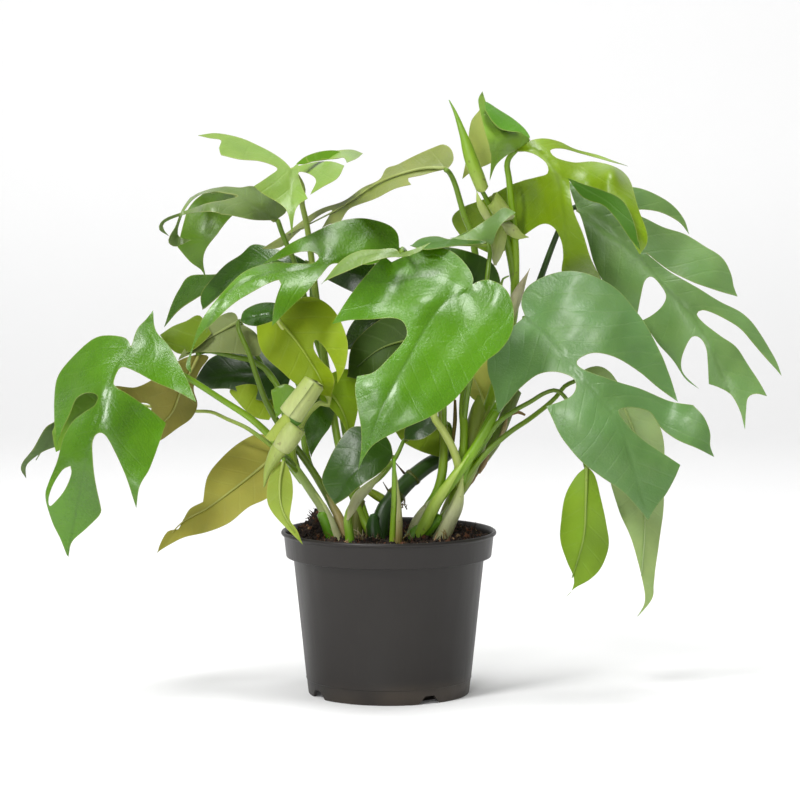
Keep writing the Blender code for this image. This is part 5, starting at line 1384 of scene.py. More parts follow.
# %% The middle vine
stalks(
    "vine_middle",
    (None, [(448, 452, 20), (439, 459, 18), (427, 466, 15), (413, 477, 11), (402, 488, 7),
     (392, 500, 3), (383, 514, -1), (379, 540, -4), (378, 590, -4)], (4.6, 5.3, 5.6)),
    ("top_light", [(293, 171, 3), (300, 181, 6), (303, 190, 8), (302, 203, 9), (307, 226, 11),
     (311, 255, 12), (316, 296, 13), (322, 340, 14), (328, 380, 14), (333, 412, 10), (338, 442, 6),
     (347, 480, 2), (361, 515, -1), (372, 540, -4), (374, 575, -4)], (1.5, 2.2, 2.4, 2.6)),
    ("top_left_dark", [(278, 221, -6), (281, 230, -2), (287, 245, 3), (293, 258, 8), (300, 280, 12),
     (308, 310, 15), (318, 345, 18), (330, 380, 19), (341, 412, 17), (346, 437, 13), (353, 475, 7),
     (364, 512, 1), (376, 545, -4)], (1.5, 1.9, 2.3)),
    ("dark_wings", [(308, 263, 27), (311, 275, 24), (312, 292, 20), (312, 320, 16)], (1.3, 1.7)),
    ("small_olive", [(449, 425, 13), (451, 434, 15), (450, 446, 18), (443, 457, 18)], (1.3, 2.0)),
    extras=[
        tube([(415, 475, 11), (413, 477, 11), (411, 479, 10)], (5.1, 5.6, 5.2), [(84, 96, 40)] * 2),
        tube([(398, 492, 6), (396, 495, 5), (394, 498, 4)], (5.3, 5.9, 5.5), [(78, 92, 40)] * 2),
        tube([(374, 515, -9), (373, 526, -9), (375, 545, -9)], (2.4, 4.9, 5.8),
            [(46, 96, 30), (40, 84, 26)]),
        tube([(369, 491, 4), (379, 497, 4), (389, 503, 3)], (2.2, 2.8, 2.4),
            [(150, 172, 70), (120, 150, 50)]),
        tube([(362, 500, 2), (357, 514, 0), (358, 545, -2)], (2.2, 3.8, 4.2),
            [(112, 120, 66), (84, 92, 50)], "bark"),
        *tuft((404, 506, 6), 7, 9, DRY_FIBRES, 16),
        tube([(404, 473, 12), (399, 467, 8), (395, 462, 6)], (0.9, 0.5, 0.25), [(110, 80, 50)] * 2,
            "bark", 6),
        tube([(389, 492, 6), (386, 487, 3), (383, 482, 2)], (0.8, 0.5, 0.25), [(90, 66, 44)] * 2,
            "bark", 6),
        *tuft((361, 541, -14), 18, 17, PALE_FIBRES, 5),
        *tuft((378, 540, -16), 8, 9, PALE_FIBRES, 15),
        *tuft((402, 540, -12), 10, 12, DRY_FIBRES, 6),
    ],
)

# %% [markdown]
# ## The stalks of the right vine
#
# Most stalks start from the right vine, one out of the sheath of the next, so
# they fan out from a broad pale base.

# %% The stalks of the right vine
stalks(
    "vine_right",
    ("long_lobes", [(401, 251, 7), (409, 262, 13), (420, 290, 20), (430, 330, 23), (438, 370, 18),
     (441, 388, 10), (442, 410, 2), (444, 444, -4), (442, 474, -6), (436, 494, -5), (424, 514, -3),
     (414, 545, -3), (416, 590, -2)], (1.6, 2.2, 2.8, 3.0)),
    ("centre_heart", [(468, 291, -49), (470, 300, -43), (466, 330, -35), (450, 370, -30),
     (438, 400, -26), (434, 416, -24), (442, 429, -20), (452, 447, -15), (458, 465, -10),
     (460, 483, -5), (458, 496, -3), (450, 510, -2), (434, 534, -2), (424, 590, -2)],
     (1.6, 2.1, 2.6, 4.0)),
    ("upper_left_arch", [(448, 171, 1), (452, 177, 4), (456, 187, 6), (460, 201, 8), (465, 218, 9),
     (471, 232, 9), (475, 253, 10), (478, 290, 10), (472, 340, 8), (465, 385, 4), (463, 410, 0),
     (464, 430, -3), (463, 459, -4), (461, 484, -3)], (1.5, 2.2, 2.4, 2.6)),
    ("top_arch", [(514, 152, -5), (509, 158, -2), (507, 166, 0), (509, 179, 2), (511, 200, 3),
     (513, 221, 4), (515, 249, 5), (515, 278, 7), (514, 310, 10), (508, 340, 14), (500, 370, 14),
     (492, 395, 12), (484, 420, 9), (474, 445, 5), (465, 468, 1), (460, 486, -3)],
     (1.6, 2.6, 3.0, 3.2)),
    ("mid_flat", [(488, 245, -21), (490, 253, -23), (489, 262, -25), (487, 280, -28), (484, 300, -26),
     (480, 330, -20), (474, 360, -12), (468, 390, -5), (464, 420, -2)], (1.3, 1.6, 1.8)),
    ("mid_back_olive", [(476, 304, -13), (479, 312, -8), (481, 330, -1), (478, 350, 4), (471, 372, 6)],
     (1.2, 1.5)),
    ("gap_olive", [(487, 410, 25), (486, 420, 22), (480, 437, 15), (472, 455, 7), (464, 473, 0)],
     (1.8, 3.2, 3.0)),
    ("right_great", [(525, 319, -11), (524, 328, -5), (520, 345, 2), (513, 370, 3), (505, 395, 0),
     (495, 412, -3), (480, 441, -4), (470, 459, -4), (461, 482, -4)], (1.8, 2.6, 3.4, 3.6)),
    ("hang_right", [(586, 468, -27), (583, 456, -22), (577, 430, -17), (570, 405, -14), (558, 391, -13),
     (545, 393, -13), (530, 402, -12), (512, 412, -11), (497, 424, -9), (486, 440, -7), (472, 461, -5)],
     (1.1, 1.3, 1.8)),
    ("hang_right_long", [(573, 382, 2), (565, 386, 2), (556, 397, 1), (545, 407, 0), (528, 420, -4),
     (510, 432, -6), (488, 451, -7), (473, 469, -6), (462, 486, -4)], (1.3, 1.6, 2.0)),
    ("pale_ridge", [(402, 252, -57), (402, 250, -46), (403, 249, -34), (408, 257, -26), (419, 290, -23),
     (430, 330, -18), (440, 370, -10), (444, 400, -4), (444, 428, -2)], (1.2, 1.6)),
    ("sinus_olive", [(446, 339, 0), (448, 350, 4), (447, 370, 8), (442, 395, 7)], (1.2, 1.5)),
    ("sinus_dark", [(428, 302, 28), (433, 312, 30), (438, 335, 28), (443, 362, 22), (441, 388, 11)],
     (1.2, 1.5)),
    ("pale_spear", [(481, 189, -5), (486, 198, -3), (495, 214, 0), (505, 236, 3), (511, 260, 5),
     (515, 286, 8)], (1.3, 2.2, 2.4)),
    extras=[
        tube([(421, 542, -6), (434, 506, -8), (452, 481, -9), (468, 459, -9), (484, 434, -8),
            (497, 411, -6)], (4.4, 4.0, 3.6, 3.2, 2.9, 2.4),
            [(128, 186, 40), (150, 198, 62), (142, 190, 54), (124, 172, 46)]),
        wrap([(418, 540, -10), (434, 508, -12), (452, 481, -13), (470, 455, -12)], (4.4, 4.2, 3.6, 2.2),
            GREEN_SHEATH, 0.4, 0.0, (0.2, 0.8)),
        wrap([(408, 536, -4), (424, 513, -5), (439, 497, -6), (452, 480, -6)], (3.8, 3.8, 3.0, 1.2),
            PALE_SHEATH, 0.5, 0.0, (0.3, 0.7)),
        wrap([(438, 546, -6), (448, 522, -7), (456, 504, -8), (462, 478, -9)], (5.0, 4.8, 4.2, 2.6),
            PALE_SHEATH, 0.6, 0.0, (0.0, 0.7)),
        wrap([(450, 506, -1), (470, 466, -1), (482, 436, 0), (490, 406, 2)], (4.6, 5.0, 4.2, 2.6),
            OLIVE_SHEATH, 0.5, 0.0, (0.3, 0.5)),
        wrap([(456, 488, 2), (470, 446, 4), (477, 420, 6), (480, 396, 8)], (4.8, 6.2, 6.0, 4.6),
            OLIVE_SHEATH, 0.5, 0.0, (0.3, 0.3)),
        tube([(455, 400, 3), (455, 420, 3), (453, 442, 2)], (0.8, 1.3, 1.0),
            [(116, 92, 48), (126, 112, 60)], "sheath"),
        tube([(410, 542, -7), (424, 530, -8), (440, 517, -7)], (3.0, 5.2, 3.2),
            [(84, 156, 36), (120, 180, 50)]),
        tube([(404, 548, -9), (412, 537, -9), (420, 528, -8)], (3.6, 4.4, 3.0),
            [(90, 150, 50), (110, 160, 60)]),
        *tuft((408, 540, -12), 10, 13, PALE_FIBRES, 8),
        *tuft((446, 537, -10), 10, 11, DRY_FIBRES, 9),
    ],
)

# %% [markdown]
# ## The back vine, the old stem and the shoots
#
# The old stem is corky and brown. It carries the back vine, whose stalk is the
# darkest, and two young shoots stand on their own.

# %% The back vine, the old stem and the shoots
stalks(
    "vine_back",
    ("right_far", [(576, 206, 17), (570, 211, 17), (562, 223, 16), (552, 247, 17), (541, 277, 19),
     (533, 300, 22), (528, 330, 25), (524, 360, 26), (518, 385, 24)], (1.5, 1.9, 2.4, 3.0)),
)
stalks(
    "old_stem",
    ("vine_back", [(516, 391, 23), (507, 413, 20), (497, 437, 18), (487, 452, 17), (476, 466, 18),
     (466, 480, 20), (456, 495, 22), (447, 515, 23), (441, 540, 23), (440, 590, 23)], (3.6, 4.4, 4.8)),
    extras=[
        tube([(479, 473, 13), (484, 463, 12), (489, 451, 13)], (0.9, 1.9, 0.9),
            [(186, 156, 122), (150, 118, 84)], "bark"),
        tube([(464, 489, 16), (471, 481, 14), (476, 474, 14)], (0.8, 1.8, 1.0),
            [(150, 120, 86), (168, 138, 100)], "bark"),
        tube([(500, 437, 14), (504, 428, 14), (507, 418, 15)], (0.7, 1.5, 0.6),
            [(196, 178, 140), (176, 150, 112)], "bark"),
        tube([(510, 414, 19), (518, 412, 18), (525, 415, 17)], (1.4, 1.2, 0.7), [(150, 118, 78)] * 2,
            "bark", 8),
    ],
)
stalks(
    "shoot_oval",
    ("low_oval", [(394, 459, -43), (394, 474, -41), (394, 500, -38), (393, 530, -35), (391, 590, -33)],
     (1.0, 1.9, 2.4)),
    extras=[
        wrap([(396, 552, -34), (397, 522, -35), (396, 498, -37), (394, 470, -40)], (3.4, 3.2, 2.4, 1.2),
            [(150, 120, 70), (206, 206, 150), (190, 208, 120)], 0.45, 0.25),
        *tuft((400, 541, -34), 6, 9, DRY_FIBRES, 12),
    ],
)
stalks(
    "shoot_small",
    ("small_dark", [(403, 442, -12), (396, 457, -16), (383, 474, -20), (368, 487, -22), (355, 502, -24),
     (348, 518, -26), (350, 541, -26), (352, 590, -26)], (1.1, 1.8, 2.8, 3.1)),
    extras=[
        wrap([(348, 520, -26), (357, 499, -25), (369, 486, -23), (386, 470, -21)], (3.5, 3.4, 2.8, 1.4),
            PALE_SHEATH, 0.5, 0.0, (0.5, 0.7)),
    ],
)

# %% [markdown]
# ## The new leaf
#
# The next leaf is still rolled into a pale spear on top of its stalk. It is a
# tube whose radius swells and runs out in a point.

# %% The rolled new leaf
SPEAR = [(483, 190, -5), (479, 181, -6), (473, 166, -7), (467, 146, -6), (461, 128, -4),
         (455, 112, -2), (449, 100, 0)]
SPEAR_RADII = (3.1, 3.7, 3.5, 2.9, 2.0, 1.1, 0.3)
SPEAR_GREENS = [(176, 196, 104), (160, 196, 84), (140, 184, 66), (120, 170, 56)]
SHEATH_GREENS = [(214, 218, 170), (196, 212, 130), (180, 204, 104)]

spear = joined("new_leaf_spear", [
    tube(SPEAR, SPEAR_RADII, SPEAR_GREENS, "sheath", 20),
    wrap([(483, 191, -5), (478, 178, -6), (471, 160, -7), (464, 138, -6), (457, 118, -4)],
         (3.6, 4.1, 3.7, 2.6, 1.0), SPEAR_GREENS, 0.6, 0.0),
    wrap([(508, 221, 0), (502, 213, -1), (495, 203, -3), (490, 197, -5)],
         (4.6, 5.0, 4.9, 4.6), SHEATH_GREENS, 0.9, 0.0, (0.3, 0.2)),
    wrap([(493, 226, 0), (485, 213, -2), (480, 202, -3), (477, 190, -3)],
         (1.6, 2.6, 2.4, 0.8), SHEATH_GREENS, 0.45, 0.0, (0.3, 0.5)),
    wrap([(504, 224, 0), (512, 230, -2), (520, 235, -3), (529, 237, -4)],
         (3.4, 3.6, 2.8, 1.0), SHEATH_GREENS, 0.5),
    wrap([(495, 264, 3), (497, 248, 1), (500, 236, 0), (503, 224, 0)],
         (3.4, 4.2, 4.0, 3.0), SHEATH_GREENS, 0.55, 0.0, (0.6, 0.0)),
    wrap([(513, 318, 4), (514, 304, 3), (520, 288, 2), (530, 268, 0)], (2.6, 3.6, 3.0, 0.8),
         [(190, 196, 140), (214, 208, 176), (190, 180, 150)], 0.45, 0.05, (0.3, 0.7)),
    tube([(501, 286, 6), (503, 279, 5), (509, 276, 4)], (0.9, 0.7, 0.4),
         [(150, 190, 80)] * 2, "stalk", 8),
], FINISHES)
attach(spear, "root")
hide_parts("pale_spear")
print("spear triangles:", len(spear.data.polygons))

# %% [markdown]
# ## The pot
#
# The pot is thin moulded plastic. Its section is turned round the axis, which
# is how such a pot's mould is made too. A collar band, a rolled lip and the
# foot ring come from the section. The drain notches under the foot are cut.

# %% The pot's section
RIM_RADIUS = 65.2
POT_HEIGHT = 99.0
BAND_TOP_RADIUS = 63.5
BAND_FOOT_RADIUS = 62.3
BAND_FOOT_HEIGHT = 83.4
WALL_TOP_RADIUS = 57.8
BASE_RADIUS = 48.9
WALL = 1.2
PLATE_RADIUS = 37.5
GUTTER_HEIGHT = 6.0
POT_STEPS = 192
POT_PROFILE = (
    (0.0, 0.0), (PLATE_RADIUS, 0.0), (PLATE_RADIUS + 1.0, GUTTER_HEIGHT),
    (BASE_RADIUS - 1.6, GUTTER_HEIGHT), (BASE_RADIUS - 2.0, 0.3), (BASE_RADIUS - 1.7, 0.0),
    (BASE_RADIUS - 0.3, 0.0), (BASE_RADIUS, 0.3), (BASE_RADIUS + 1.0, 8.9),
    (BASE_RADIUS + 1.35, 9.2), (BASE_RADIUS + 1.4, 9.7), (BASE_RADIUS + 1.3, 10.1),
    (WALL_TOP_RADIUS - 0.1, BAND_FOOT_HEIGHT - 1.6),
    (WALL_TOP_RADIUS + 0.2, BAND_FOOT_HEIGHT - 0.7),
    (WALL_TOP_RADIUS + 0.9, BAND_FOOT_HEIGHT - 0.3),
    (BAND_FOOT_RADIUS - 0.8, BAND_FOOT_HEIGHT - 0.2),
    (BAND_FOOT_RADIUS - 0.2, BAND_FOOT_HEIGHT + 0.1),
    (BAND_FOOT_RADIUS, BAND_FOOT_HEIGHT + 0.8),
    (BAND_TOP_RADIUS, 95.6), (BAND_TOP_RADIUS + 0.3, 96.3), (RIM_RADIUS - 0.4, 96.7),
    (RIM_RADIUS, 97.3), (RIM_RADIUS, 97.9), (RIM_RADIUS - 0.3, 98.6),
    (RIM_RADIUS - 0.9, POT_HEIGHT),
    (RIM_RADIUS - 1.6, POT_HEIGHT - 0.1), (RIM_RADIUS - 2.2, 98.4), (BAND_TOP_RADIUS - WALL, 96.2),
    (BAND_FOOT_RADIUS - WALL, BAND_FOOT_HEIGHT + 1.4),
    (WALL_TOP_RADIUS - WALL, BAND_FOOT_HEIGHT + 0.6),
    (BASE_RADIUS - WALL + 0.6, GUTTER_HEIGHT + WALL), (PLATE_RADIUS - 0.2, GUTTER_HEIGHT + WALL),
    (PLATE_RADIUS - 1.2, WALL), (0.0, WALL),
)


def turned(name, profile, steps):
    """A closed body turned about the vertical axis from (radius, height) pairs."""
    mesh = bpy.data.meshes.new(name)
    mesh.from_pydata([(r * MM, 0.0, z * MM) for r, z in profile],
                     [(i, i + 1) for i in range(len(profile) - 1)], [])
    made = added(name, mesh)
    screw = made.modifiers.new("Turn", "SCREW")
    screw.steps = screw.render_steps = steps
    screw.use_merge_vertices = True
    screw.merge_threshold = 0.00001
    return settled(made)


def settled(made):
    """The object with its modifiers turned into its own outward mesh."""
    graph = bpy.context.evaluated_depsgraph_get()
    mesh = bpy.data.meshes.new_from_object(made.evaluated_get(graph))
    made.modifiers.clear()
    work = bmesh.new()
    work.from_mesh(mesh)
    bmesh.ops.remove_doubles(work, verts=work.verts, dist=0.000005)
    bmesh.ops.recalc_face_normals(work, faces=work.faces)
    work.to_mesh(mesh)
    work.free()
    made.data = mesh
    return made


pot = turned("nursery_pot", POT_PROFILE, POT_STEPS)
print("pot faces:", len(pot.data.polygons))

# %% [markdown]
# ## Drain notches
#
# Water drains through four slanted notches in the foot ring. They could be
# modelled in the turned mesh, but a Boolean cut with four small wedges is
# shorter and keeps the section plain. The cuts are made part of the mesh.

# %% The drain notches
NOTCH_INNER = 42.0
NOTCH_OUTER = 56.0
NOTCH_BELOW = 4.0
NOTCH_HEIGHT = 5.0
NOTCH_TOP_WIDTH = 6.0
NOTCH_FOOT_WIDTH = 15.0
NOTCH_ANGLES = (-60.0, 30.0, 120.0, 210.0)

cutters = []
for angle in NOTCH_ANGLES:
    top, foot = NOTCH_TOP_WIDTH / 2, NOTCH_FOOT_WIDTH / 2
    wide = foot + NOTCH_BELOW * (foot - top) / NOTCH_HEIGHT
    section = ((-wide, -NOTCH_BELOW), (wide, -NOTCH_BELOW), (top, NOTCH_HEIGHT),
               (-top, NOTCH_HEIGHT))
    turn = math.radians(angle - 90.0)
    points = [((out * math.cos(turn) - side * math.sin(turn)) * MM,
               (out * math.sin(turn) + side * math.cos(turn)) * MM, height * MM)
              for out in (NOTCH_INNER, NOTCH_OUTER) for side, height in section]
    faces = [(0, 1, 2, 3), (7, 6, 5, 4)]
    faces += [(i + 4, (i + 1) % 4 + 4, (i + 1) % 4, i) for i in range(4)]
    mesh = bpy.data.meshes.new("notch")
    mesh.from_pydata(points, [], faces)
    cutter = added("notch", mesh)
    cut = pot.modifiers.new("Notch", "BOOLEAN")
    cut.operation = "DIFFERENCE"
    cut.object = settled(cutter)
    cutters.append(cutter)
pot = settled(pot)
for cutter in cutters:
    bpy.data.objects.remove(cutter, do_unlink=True)
pot.data.shade_smooth()
for edge in pot.data.edges:
    edge.use_edge_sharp = False
pot.data.set_sharp_from_angle(angle=math.radians(38.0))
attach(pot, "root")
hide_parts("pot")
print("pot faces after the notches:", len(pot.data.polygons))

# %% [markdown]
# ## The plastic of the pot
#
# The plastic is a warm dark grey with a fine satin grain from the mould. It
# has picked up faint upright scuffs and a little dust near the foot, so its
# gloss isn't even.

# %% Pot plastic
paint = Paint("pot_plastic")
grain = paint.noise(900.0, 2.0, 0.6)
streaks = paint.noise(30.0, 4.0, 0.65, where=paint.place((6.0, 6.0, 0.35)))
patches = paint.noise(16.0, 3.0)
height = paint.node("ShaderNodeSeparateXYZ", inputs={0: paint.place()}, output=2)
dust = (1.0 - height.between(0.004, 0.016)) * patches.between(0.35, 0.7)
colour = paint.mix(
    patches.between(0.3, 0.7) * 0.5, (0.0140, 0.0118, 0.0102), (0.0205, 0.0172, 0.0148))
colour = paint.mix(streaks.between(0.55, 0.8) * 0.25, colour, (0.036, 0.031, 0.027))
colour = paint.mix(dust * 0.30, colour, (0.12, 0.09, 0.06))
gloss = streaks.between(0.3, 0.8) * 0.10 + grain * 0.08 + 0.36
pot.data.materials.clear()
pot.data.materials.append(paint.finish(
    Base_Color=colour, Roughness=gloss, Specular_IOR_Level=0.35,
    Normal=paint.bump(grain * 0.5 + streaks * 0.3, 0.18, 0.0003)))
print("pot plastic ready")

# %% [markdown]
# ## The soil
#
# The soil is coir and bark crumbs, heaped where stems push through. Its bed is
# a turned body whose flat top has many rings, and the top is then lifted into
# the heaps. It fills the pot, so that no gap shows at the rim.

# %% The soil bed
SOIL_LEVEL = 93.5
SEAT_GAP = 0.3
SOIL_STEPS = 160
SOIL_RINGS = 50
SOIL_EDGE = 60.4
# Each heap is an across and a back place, a height and a spread
HEAPS = ((-42.0, 14.0, 17.0, 9.0), (-31.0, 6.0, 7.0, 5.0), (44.0, 10.0, 6.0, 9.0),
         (-24.0, 22.0, 9.0, 9.0), (34.0, 30.0, 3.0, 13.0), (-4.0, 36.0, 10.0, 10.0),
         (12.0, 20.0, 5.0, 9.0))


def heap(x, y):
    """How far the soil stands above its level, in millimetres."""
    rise = 1.6 * math.sin(0.21 * x + 1.0) * math.sin(0.17 * y + 0.4)
    rise += 1.1 * math.sin(0.47 * x - 0.31 * y) + 0.8 * math.sin(0.73 * y + 0.2 * x)
    rise += 0.5 * math.sin(1.9 * x + 0.7 * y) * math.sin(1.6 * y - 0.5 * x)
    for cx, cy, high, spread in HEAPS:
        rise += high * math.exp(-((x - cx) ** 2 + (y - cy) ** 2) / spread**2)
    return rise


inner = WALL + SEAT_GAP + 0.1
soil_profile = [(0.0, inner), (PLATE_RADIUS - 1.8, inner),
                (PLATE_RADIUS - 0.6, GUTTER_HEIGHT + inner),
                (BASE_RADIUS - inner + 0.4, GUTTER_HEIGHT + inner),
                (WALL_TOP_RADIUS - inner, BAND_FOOT_HEIGHT + 1.0),
                (BAND_FOOT_RADIUS - inner - 0.3, 86.0),
                (BAND_FOOT_RADIUS - inner, SOIL_LEVEL - 1.5)]
soil_profile += [(ring, SOIL_LEVEL) for ring in np.linspace(SOIL_EDGE, 1.0, SOIL_RINGS)]
soil_profile.append((0.0, SOIL_LEVEL))
soil = turned("soil_bed", soil_profile, SOIL_STEPS)
for vert in soil.data.vertices:
    if vert.co.z > (SOIL_LEVEL - 0.5) * MM:
        vert.co.z += heap(vert.co.x / MM, vert.co.y / MM) * MM
soil.data.shade_smooth()

paint = Paint("soil_bed")
crumbs = paint.noise(420.0, 4.0, 0.7)
tone = paint.noise(130.0, 3.0, 0.6)
colour = paint.mix(tone.between(0.35, 0.65), (0.012, 0.006, 0.003), (0.034, 0.015, 0.007))
colour = paint.mix(crumbs.between(0.62, 0.72) * 0.7, colour, (0.13, 0.06, 0.025))
soil.data.materials.clear()
soil.data.materials.append(paint.finish(
    Base_Color=colour, Roughness=crumbs * 0.1 + 0.86,
    Normal=paint.bump(crumbs + tone * 0.6, 1.0, 0.0018)))
print("soil faces:", len(soil.data.polygons))

# %% [markdown]
# ## Crumbs on the soil
#
# Thousands of crumbs lie on the bed: lumps of peat, flat chips of bark and
# short coir fibres. Placing them by hand is out of the question, so Geometry
# Nodes scatter three low shapes over the top of the bed, turned and sized at
# random from a fixed seed. Each crumb keeps a random tone that its colour
# comes from.

# %% Three low crumb shapes
CRUMB_SHAPES = (("lump", (1.0, 0.85, 0.75)), ("chip", (1.25, 0.8, 0.32)),
                ("fibre", (2.4, 0.2, 0.22)))

crumb_shapes = bpy.data.collections.new("crumb_shapes")
spread = np.random.default_rng(11)
for name, stretch in CRUMB_SHAPES:
    work = bmesh.new()
    bmesh.ops.create_icosphere(work, subdivisions=1, radius=1.0)
    for vert in work.verts:
        vert.co *= spread.uniform(0.7, 1.15)
        vert.co = [v * s for v, s in zip(vert.co, stretch)]
    mesh = bpy.data.meshes.new(name)
    work.to_mesh(mesh)
    work.free()
    crumb_shapes.objects.link(bpy.data.objects.new(name, mesh))

# %% The colour of the crumbs
paint = Paint("soil_crumbs")
tone = paint.number("tone")
dapple = paint.noise(700.0, 3.0, 0.7)
colour = paint.mix(tone.between(0.1, 0.75), (0.007, 0.004, 0.0025), (0.026, 0.011, 0.005))
colour = paint.mix(tone.between(0.78, 0.90), colour, (0.12, 0.042, 0.016))
colour = paint.mix(tone.between(0.95, 0.975), colour, (0.34, 0.22, 0.11))
colour = paint.mix(dapple.between(0.5, 0.75) * 0.5, colour, (0.05, 0.022, 0.010))
crumb_paint = paint.finish(
    Base_Color=colour, Roughness=dapple * 0.1 + 0.82, Normal=paint.bump(dapple, 0.8, 0.0006))
print("crumb colour ready")

# %% Scattering them
CRUMBS_PER_M2 = 400000.0
CRUMB_RADIUS = (0.0006, 0.0026)
CRUMB_REACH = 0.0578
CRUMB_SEED = 7

tree = bpy.data.node_groups.new("scatter_crumbs", "GeometryNodeTree")
sockets = {}
for label, kind, value in (("Bed", "Geometry", None), ("Per square metre", "Float", CRUMBS_PER_M2),
                           ("Smallest", "Float", CRUMB_RADIUS[0]),
                           ("Largest", "Float", CRUMB_RADIUS[1]),
                           ("Seed", "Int", CRUMB_SEED)):
    made = tree.interface.new_socket(label, in_out="INPUT", socket_type="NodeSocket" + kind)
    sockets[label] = (made.identifier, value)
tree.interface.new_socket("Crumbs", in_out="OUTPUT", socket_type="NodeSocketGeometry")
grow = Graph(tree)
given = tree.nodes.new("NodeGroupInput")
bed, density, smallest, largest, seed = (Wire(grow, out) for out in given.outputs[:5])
outward = grow.node("GeometryNodeInputNormal")
facing = grow.node("ShaderNodeSeparateXYZ", inputs={0: outward}, output=2)
spot = grow.node("GeometryNodeInputPosition")
height = grow.node("ShaderNodeSeparateXYZ", inputs={0: spot}, output=2)
flat = grow.node("ShaderNodeVectorMath", {"operation": "MULTIPLY"}, {0: spot, 1: (1.0, 1.0, 0.0)})
reach = grow.node("ShaderNodeVectorMath", {"operation": "LENGTH"}, {0: flat}, output="Value")
upward = facing.math("GREATER_THAN", 0.15) * height.math("GREATER_THAN", (SOIL_LEVEL - 5.0) * MM)
upward = upward * reach.math("LESS_THAN", CRUMB_REACH)
points = grow.node("GeometryNodeDistributePointsOnFaces", {"distribute_method": "RANDOM"},
                   {"Mesh": bed, "Selection": upward, "Density": density, "Seed": seed})
shapes = grow.node("GeometryNodeCollectionInfo", {"transform_space": "ORIGINAL"},
                   {"Collection": crumb_shapes, "Separate Children": True, "Reset Children": True})
turn = grow.node("FunctionNodeRandomValue", {"data_type": "FLOAT_VECTOR"},
                 {0: (0.0, 0.0, 0.0), 1: (6.28, 6.28, 6.28), "Seed": seed})
size = grow.node("FunctionNodeRandomValue", {"data_type": "FLOAT"},
                 {2: smallest, 3: largest, "Seed": seed + 1}, output=1)
pick = grow.node("FunctionNodeRandomValue", {"data_type": "INT"},
                 {4: 0, 5: len(CRUMB_SHAPES) - 1, "Seed": seed + 2}, output=2)
placed = grow.node("GeometryNodeInstanceOnPoints", inputs={
    "Points": points, "Instance": shapes, "Pick Instance": True, "Instance Index": pick,
    "Rotation": turn, "Scale": size})
tones = grow.node("FunctionNodeRandomValue", {"data_type": "FLOAT"},
                  {2: 0.0, 3: 1.0, "Seed": seed + 3}, output=1)
toned = grow.node("GeometryNodeStoreNamedAttribute", {"data_type": "FLOAT", "domain": "INSTANCE"},
                  {"Geometry": placed, "Name": "tone", "Value": tones})
real = grow.node("GeometryNodeRealizeInstances", inputs={"Geometry": toned})
painted = grow.node("GeometryNodeSetMaterial", inputs={"Geometry": real, "Material": crumb_paint})
grow.node("NodeGroupOutput", inputs={0: painted})

scatter = soil.modifiers.new("Crumbs", "NODES")
scatter.node_group = tree
for identifier, value in sockets.values():
    if value is not None:
        scatter[identifier] = value
bpy.context.view_layer.update()
graph = bpy.context.evaluated_depsgraph_get()
crumb_mesh = bpy.data.meshes.new_from_object(soil.evaluated_get(graph))
soil.modifiers.remove(scatter)
bpy.context.view_layer.update()
crumbs = added("soil_crumbs", crumb_mesh)
for shape in list(crumb_shapes.objects):
    bpy.data.objects.remove(shape, do_unlink=True)
bpy.data.collections.remove(crumb_shapes)
for piece in (soil, crumbs):
    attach(piece, "root")
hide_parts("soil")
print("crumb triangles:", len(crumb_mesh.polygons))

# %% [markdown]
# ## The room
#
# A plain pale floor runs up into a wall without a corner. The wall would turn
# grey far from the lamps, so it glows a little, more so higher up.

# %% Floor
FLOOR_HALF = 3.0
COVE_START = 1.6
COVE_RADIUS = 0.8
WALL_PLACE = 2.4
WALL_HEIGHT = 3.2

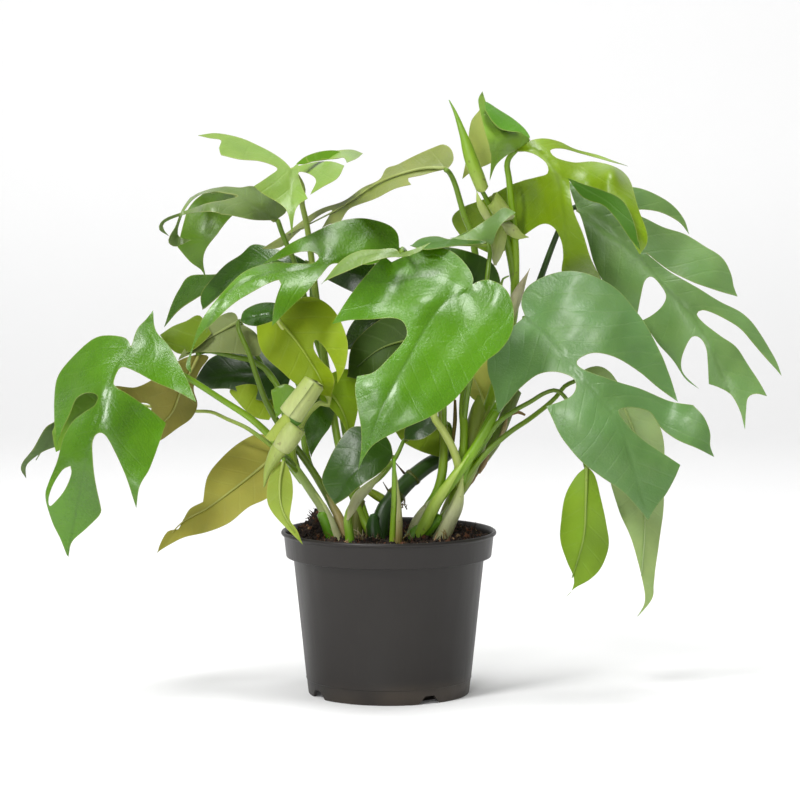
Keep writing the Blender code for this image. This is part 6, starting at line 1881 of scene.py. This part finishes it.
floor_line = [(-FLOOR_HALF, 0.0), (COVE_START, 0.0)]
floor_line += [(COVE_START + COVE_RADIUS * math.sin(a), COVE_RADIUS - COVE_RADIUS * math.cos(a))
               for a in np.linspace(0.1, math.pi / 2, 14)]
floor_line += [(WALL_PLACE, WALL_HEIGHT)]
floor_mesh = bpy.data.meshes.new("floor")
floor_mesh.from_pydata(
    [(x, y, z) for y, z in floor_line for x in (-FLOOR_HALF, FLOOR_HALF)], [],
    [(2 * i, 2 * i + 1, 2 * i + 3, 2 * i + 2) for i in range(len(floor_line) - 1)])
floor_mesh.shade_smooth()
floor = added("floor", floor_mesh)
paint = Paint("floor_white")
cloud = paint.noise(3.0, 2.0)
rise = paint.node("ShaderNodeSeparateXYZ", inputs={0: paint.place()}, output=2).between(0.0, 0.35)
floor_mesh.materials.append(paint.finish(
    Base_Color=paint.mix(cloud * 0.1, (0.86, 0.86, 0.86), (0.84, 0.84, 0.84)), Roughness=0.9,
    Emission_Color=paint.mix(rise, (0.2, 0.2, 0.2), (1.0, 1.0, 1.0)), Emission_Strength=0.14))
print("floor ready")

# %% [markdown]
# ## The lights
#
# Large soft lights from the front and above give the broad highlights on the
# leaves, and an even pale surround fills the shade. Area lamps are used,
# because a point or a sun would cast the hard shadows that a plant in a bright
# room doesn't have.

# %% Lights
LIT_PLACE = Vector((0.0, 0.0, 0.2))
SURROUND_STRENGTH = 0.32
LIGHTS = (
    ("key", (-1.3, -1.6, 2.0), (0.6, 0.6), 52.0),
    ("fill", (-0.5, -2.2, 0.9), (0.5, 0.5), 11.0),
    ("top", (0.2, -0.1, 2.2), (0.9, 0.9), 36.0),
)
for name, place, size, power in LIGHTS:
    lamp = bpy.data.lights.new(name, "AREA")
    lamp.shape = "RECTANGLE"
    lamp.size, lamp.size_y = size
    lamp.energy = power
    made = added(name, lamp)
    made.location = place
    made.rotation_euler = (LIT_PLACE - Vector(place)).to_track_quat("-Z", "Y").to_euler()
world = bpy.data.worlds.new("surround")
world.use_nodes = True
surround = world.node_tree.nodes["Background"]
surround.inputs["Color"].default_value = (1.0, 1.0, 1.0, 1.0)
surround.inputs["Strength"].default_value = SURROUND_STRENGTH
bpy.context.scene.world = world
bpy.context.scene.view_settings.view_transform = "Standard"
print("lights:", len(LIGHTS))
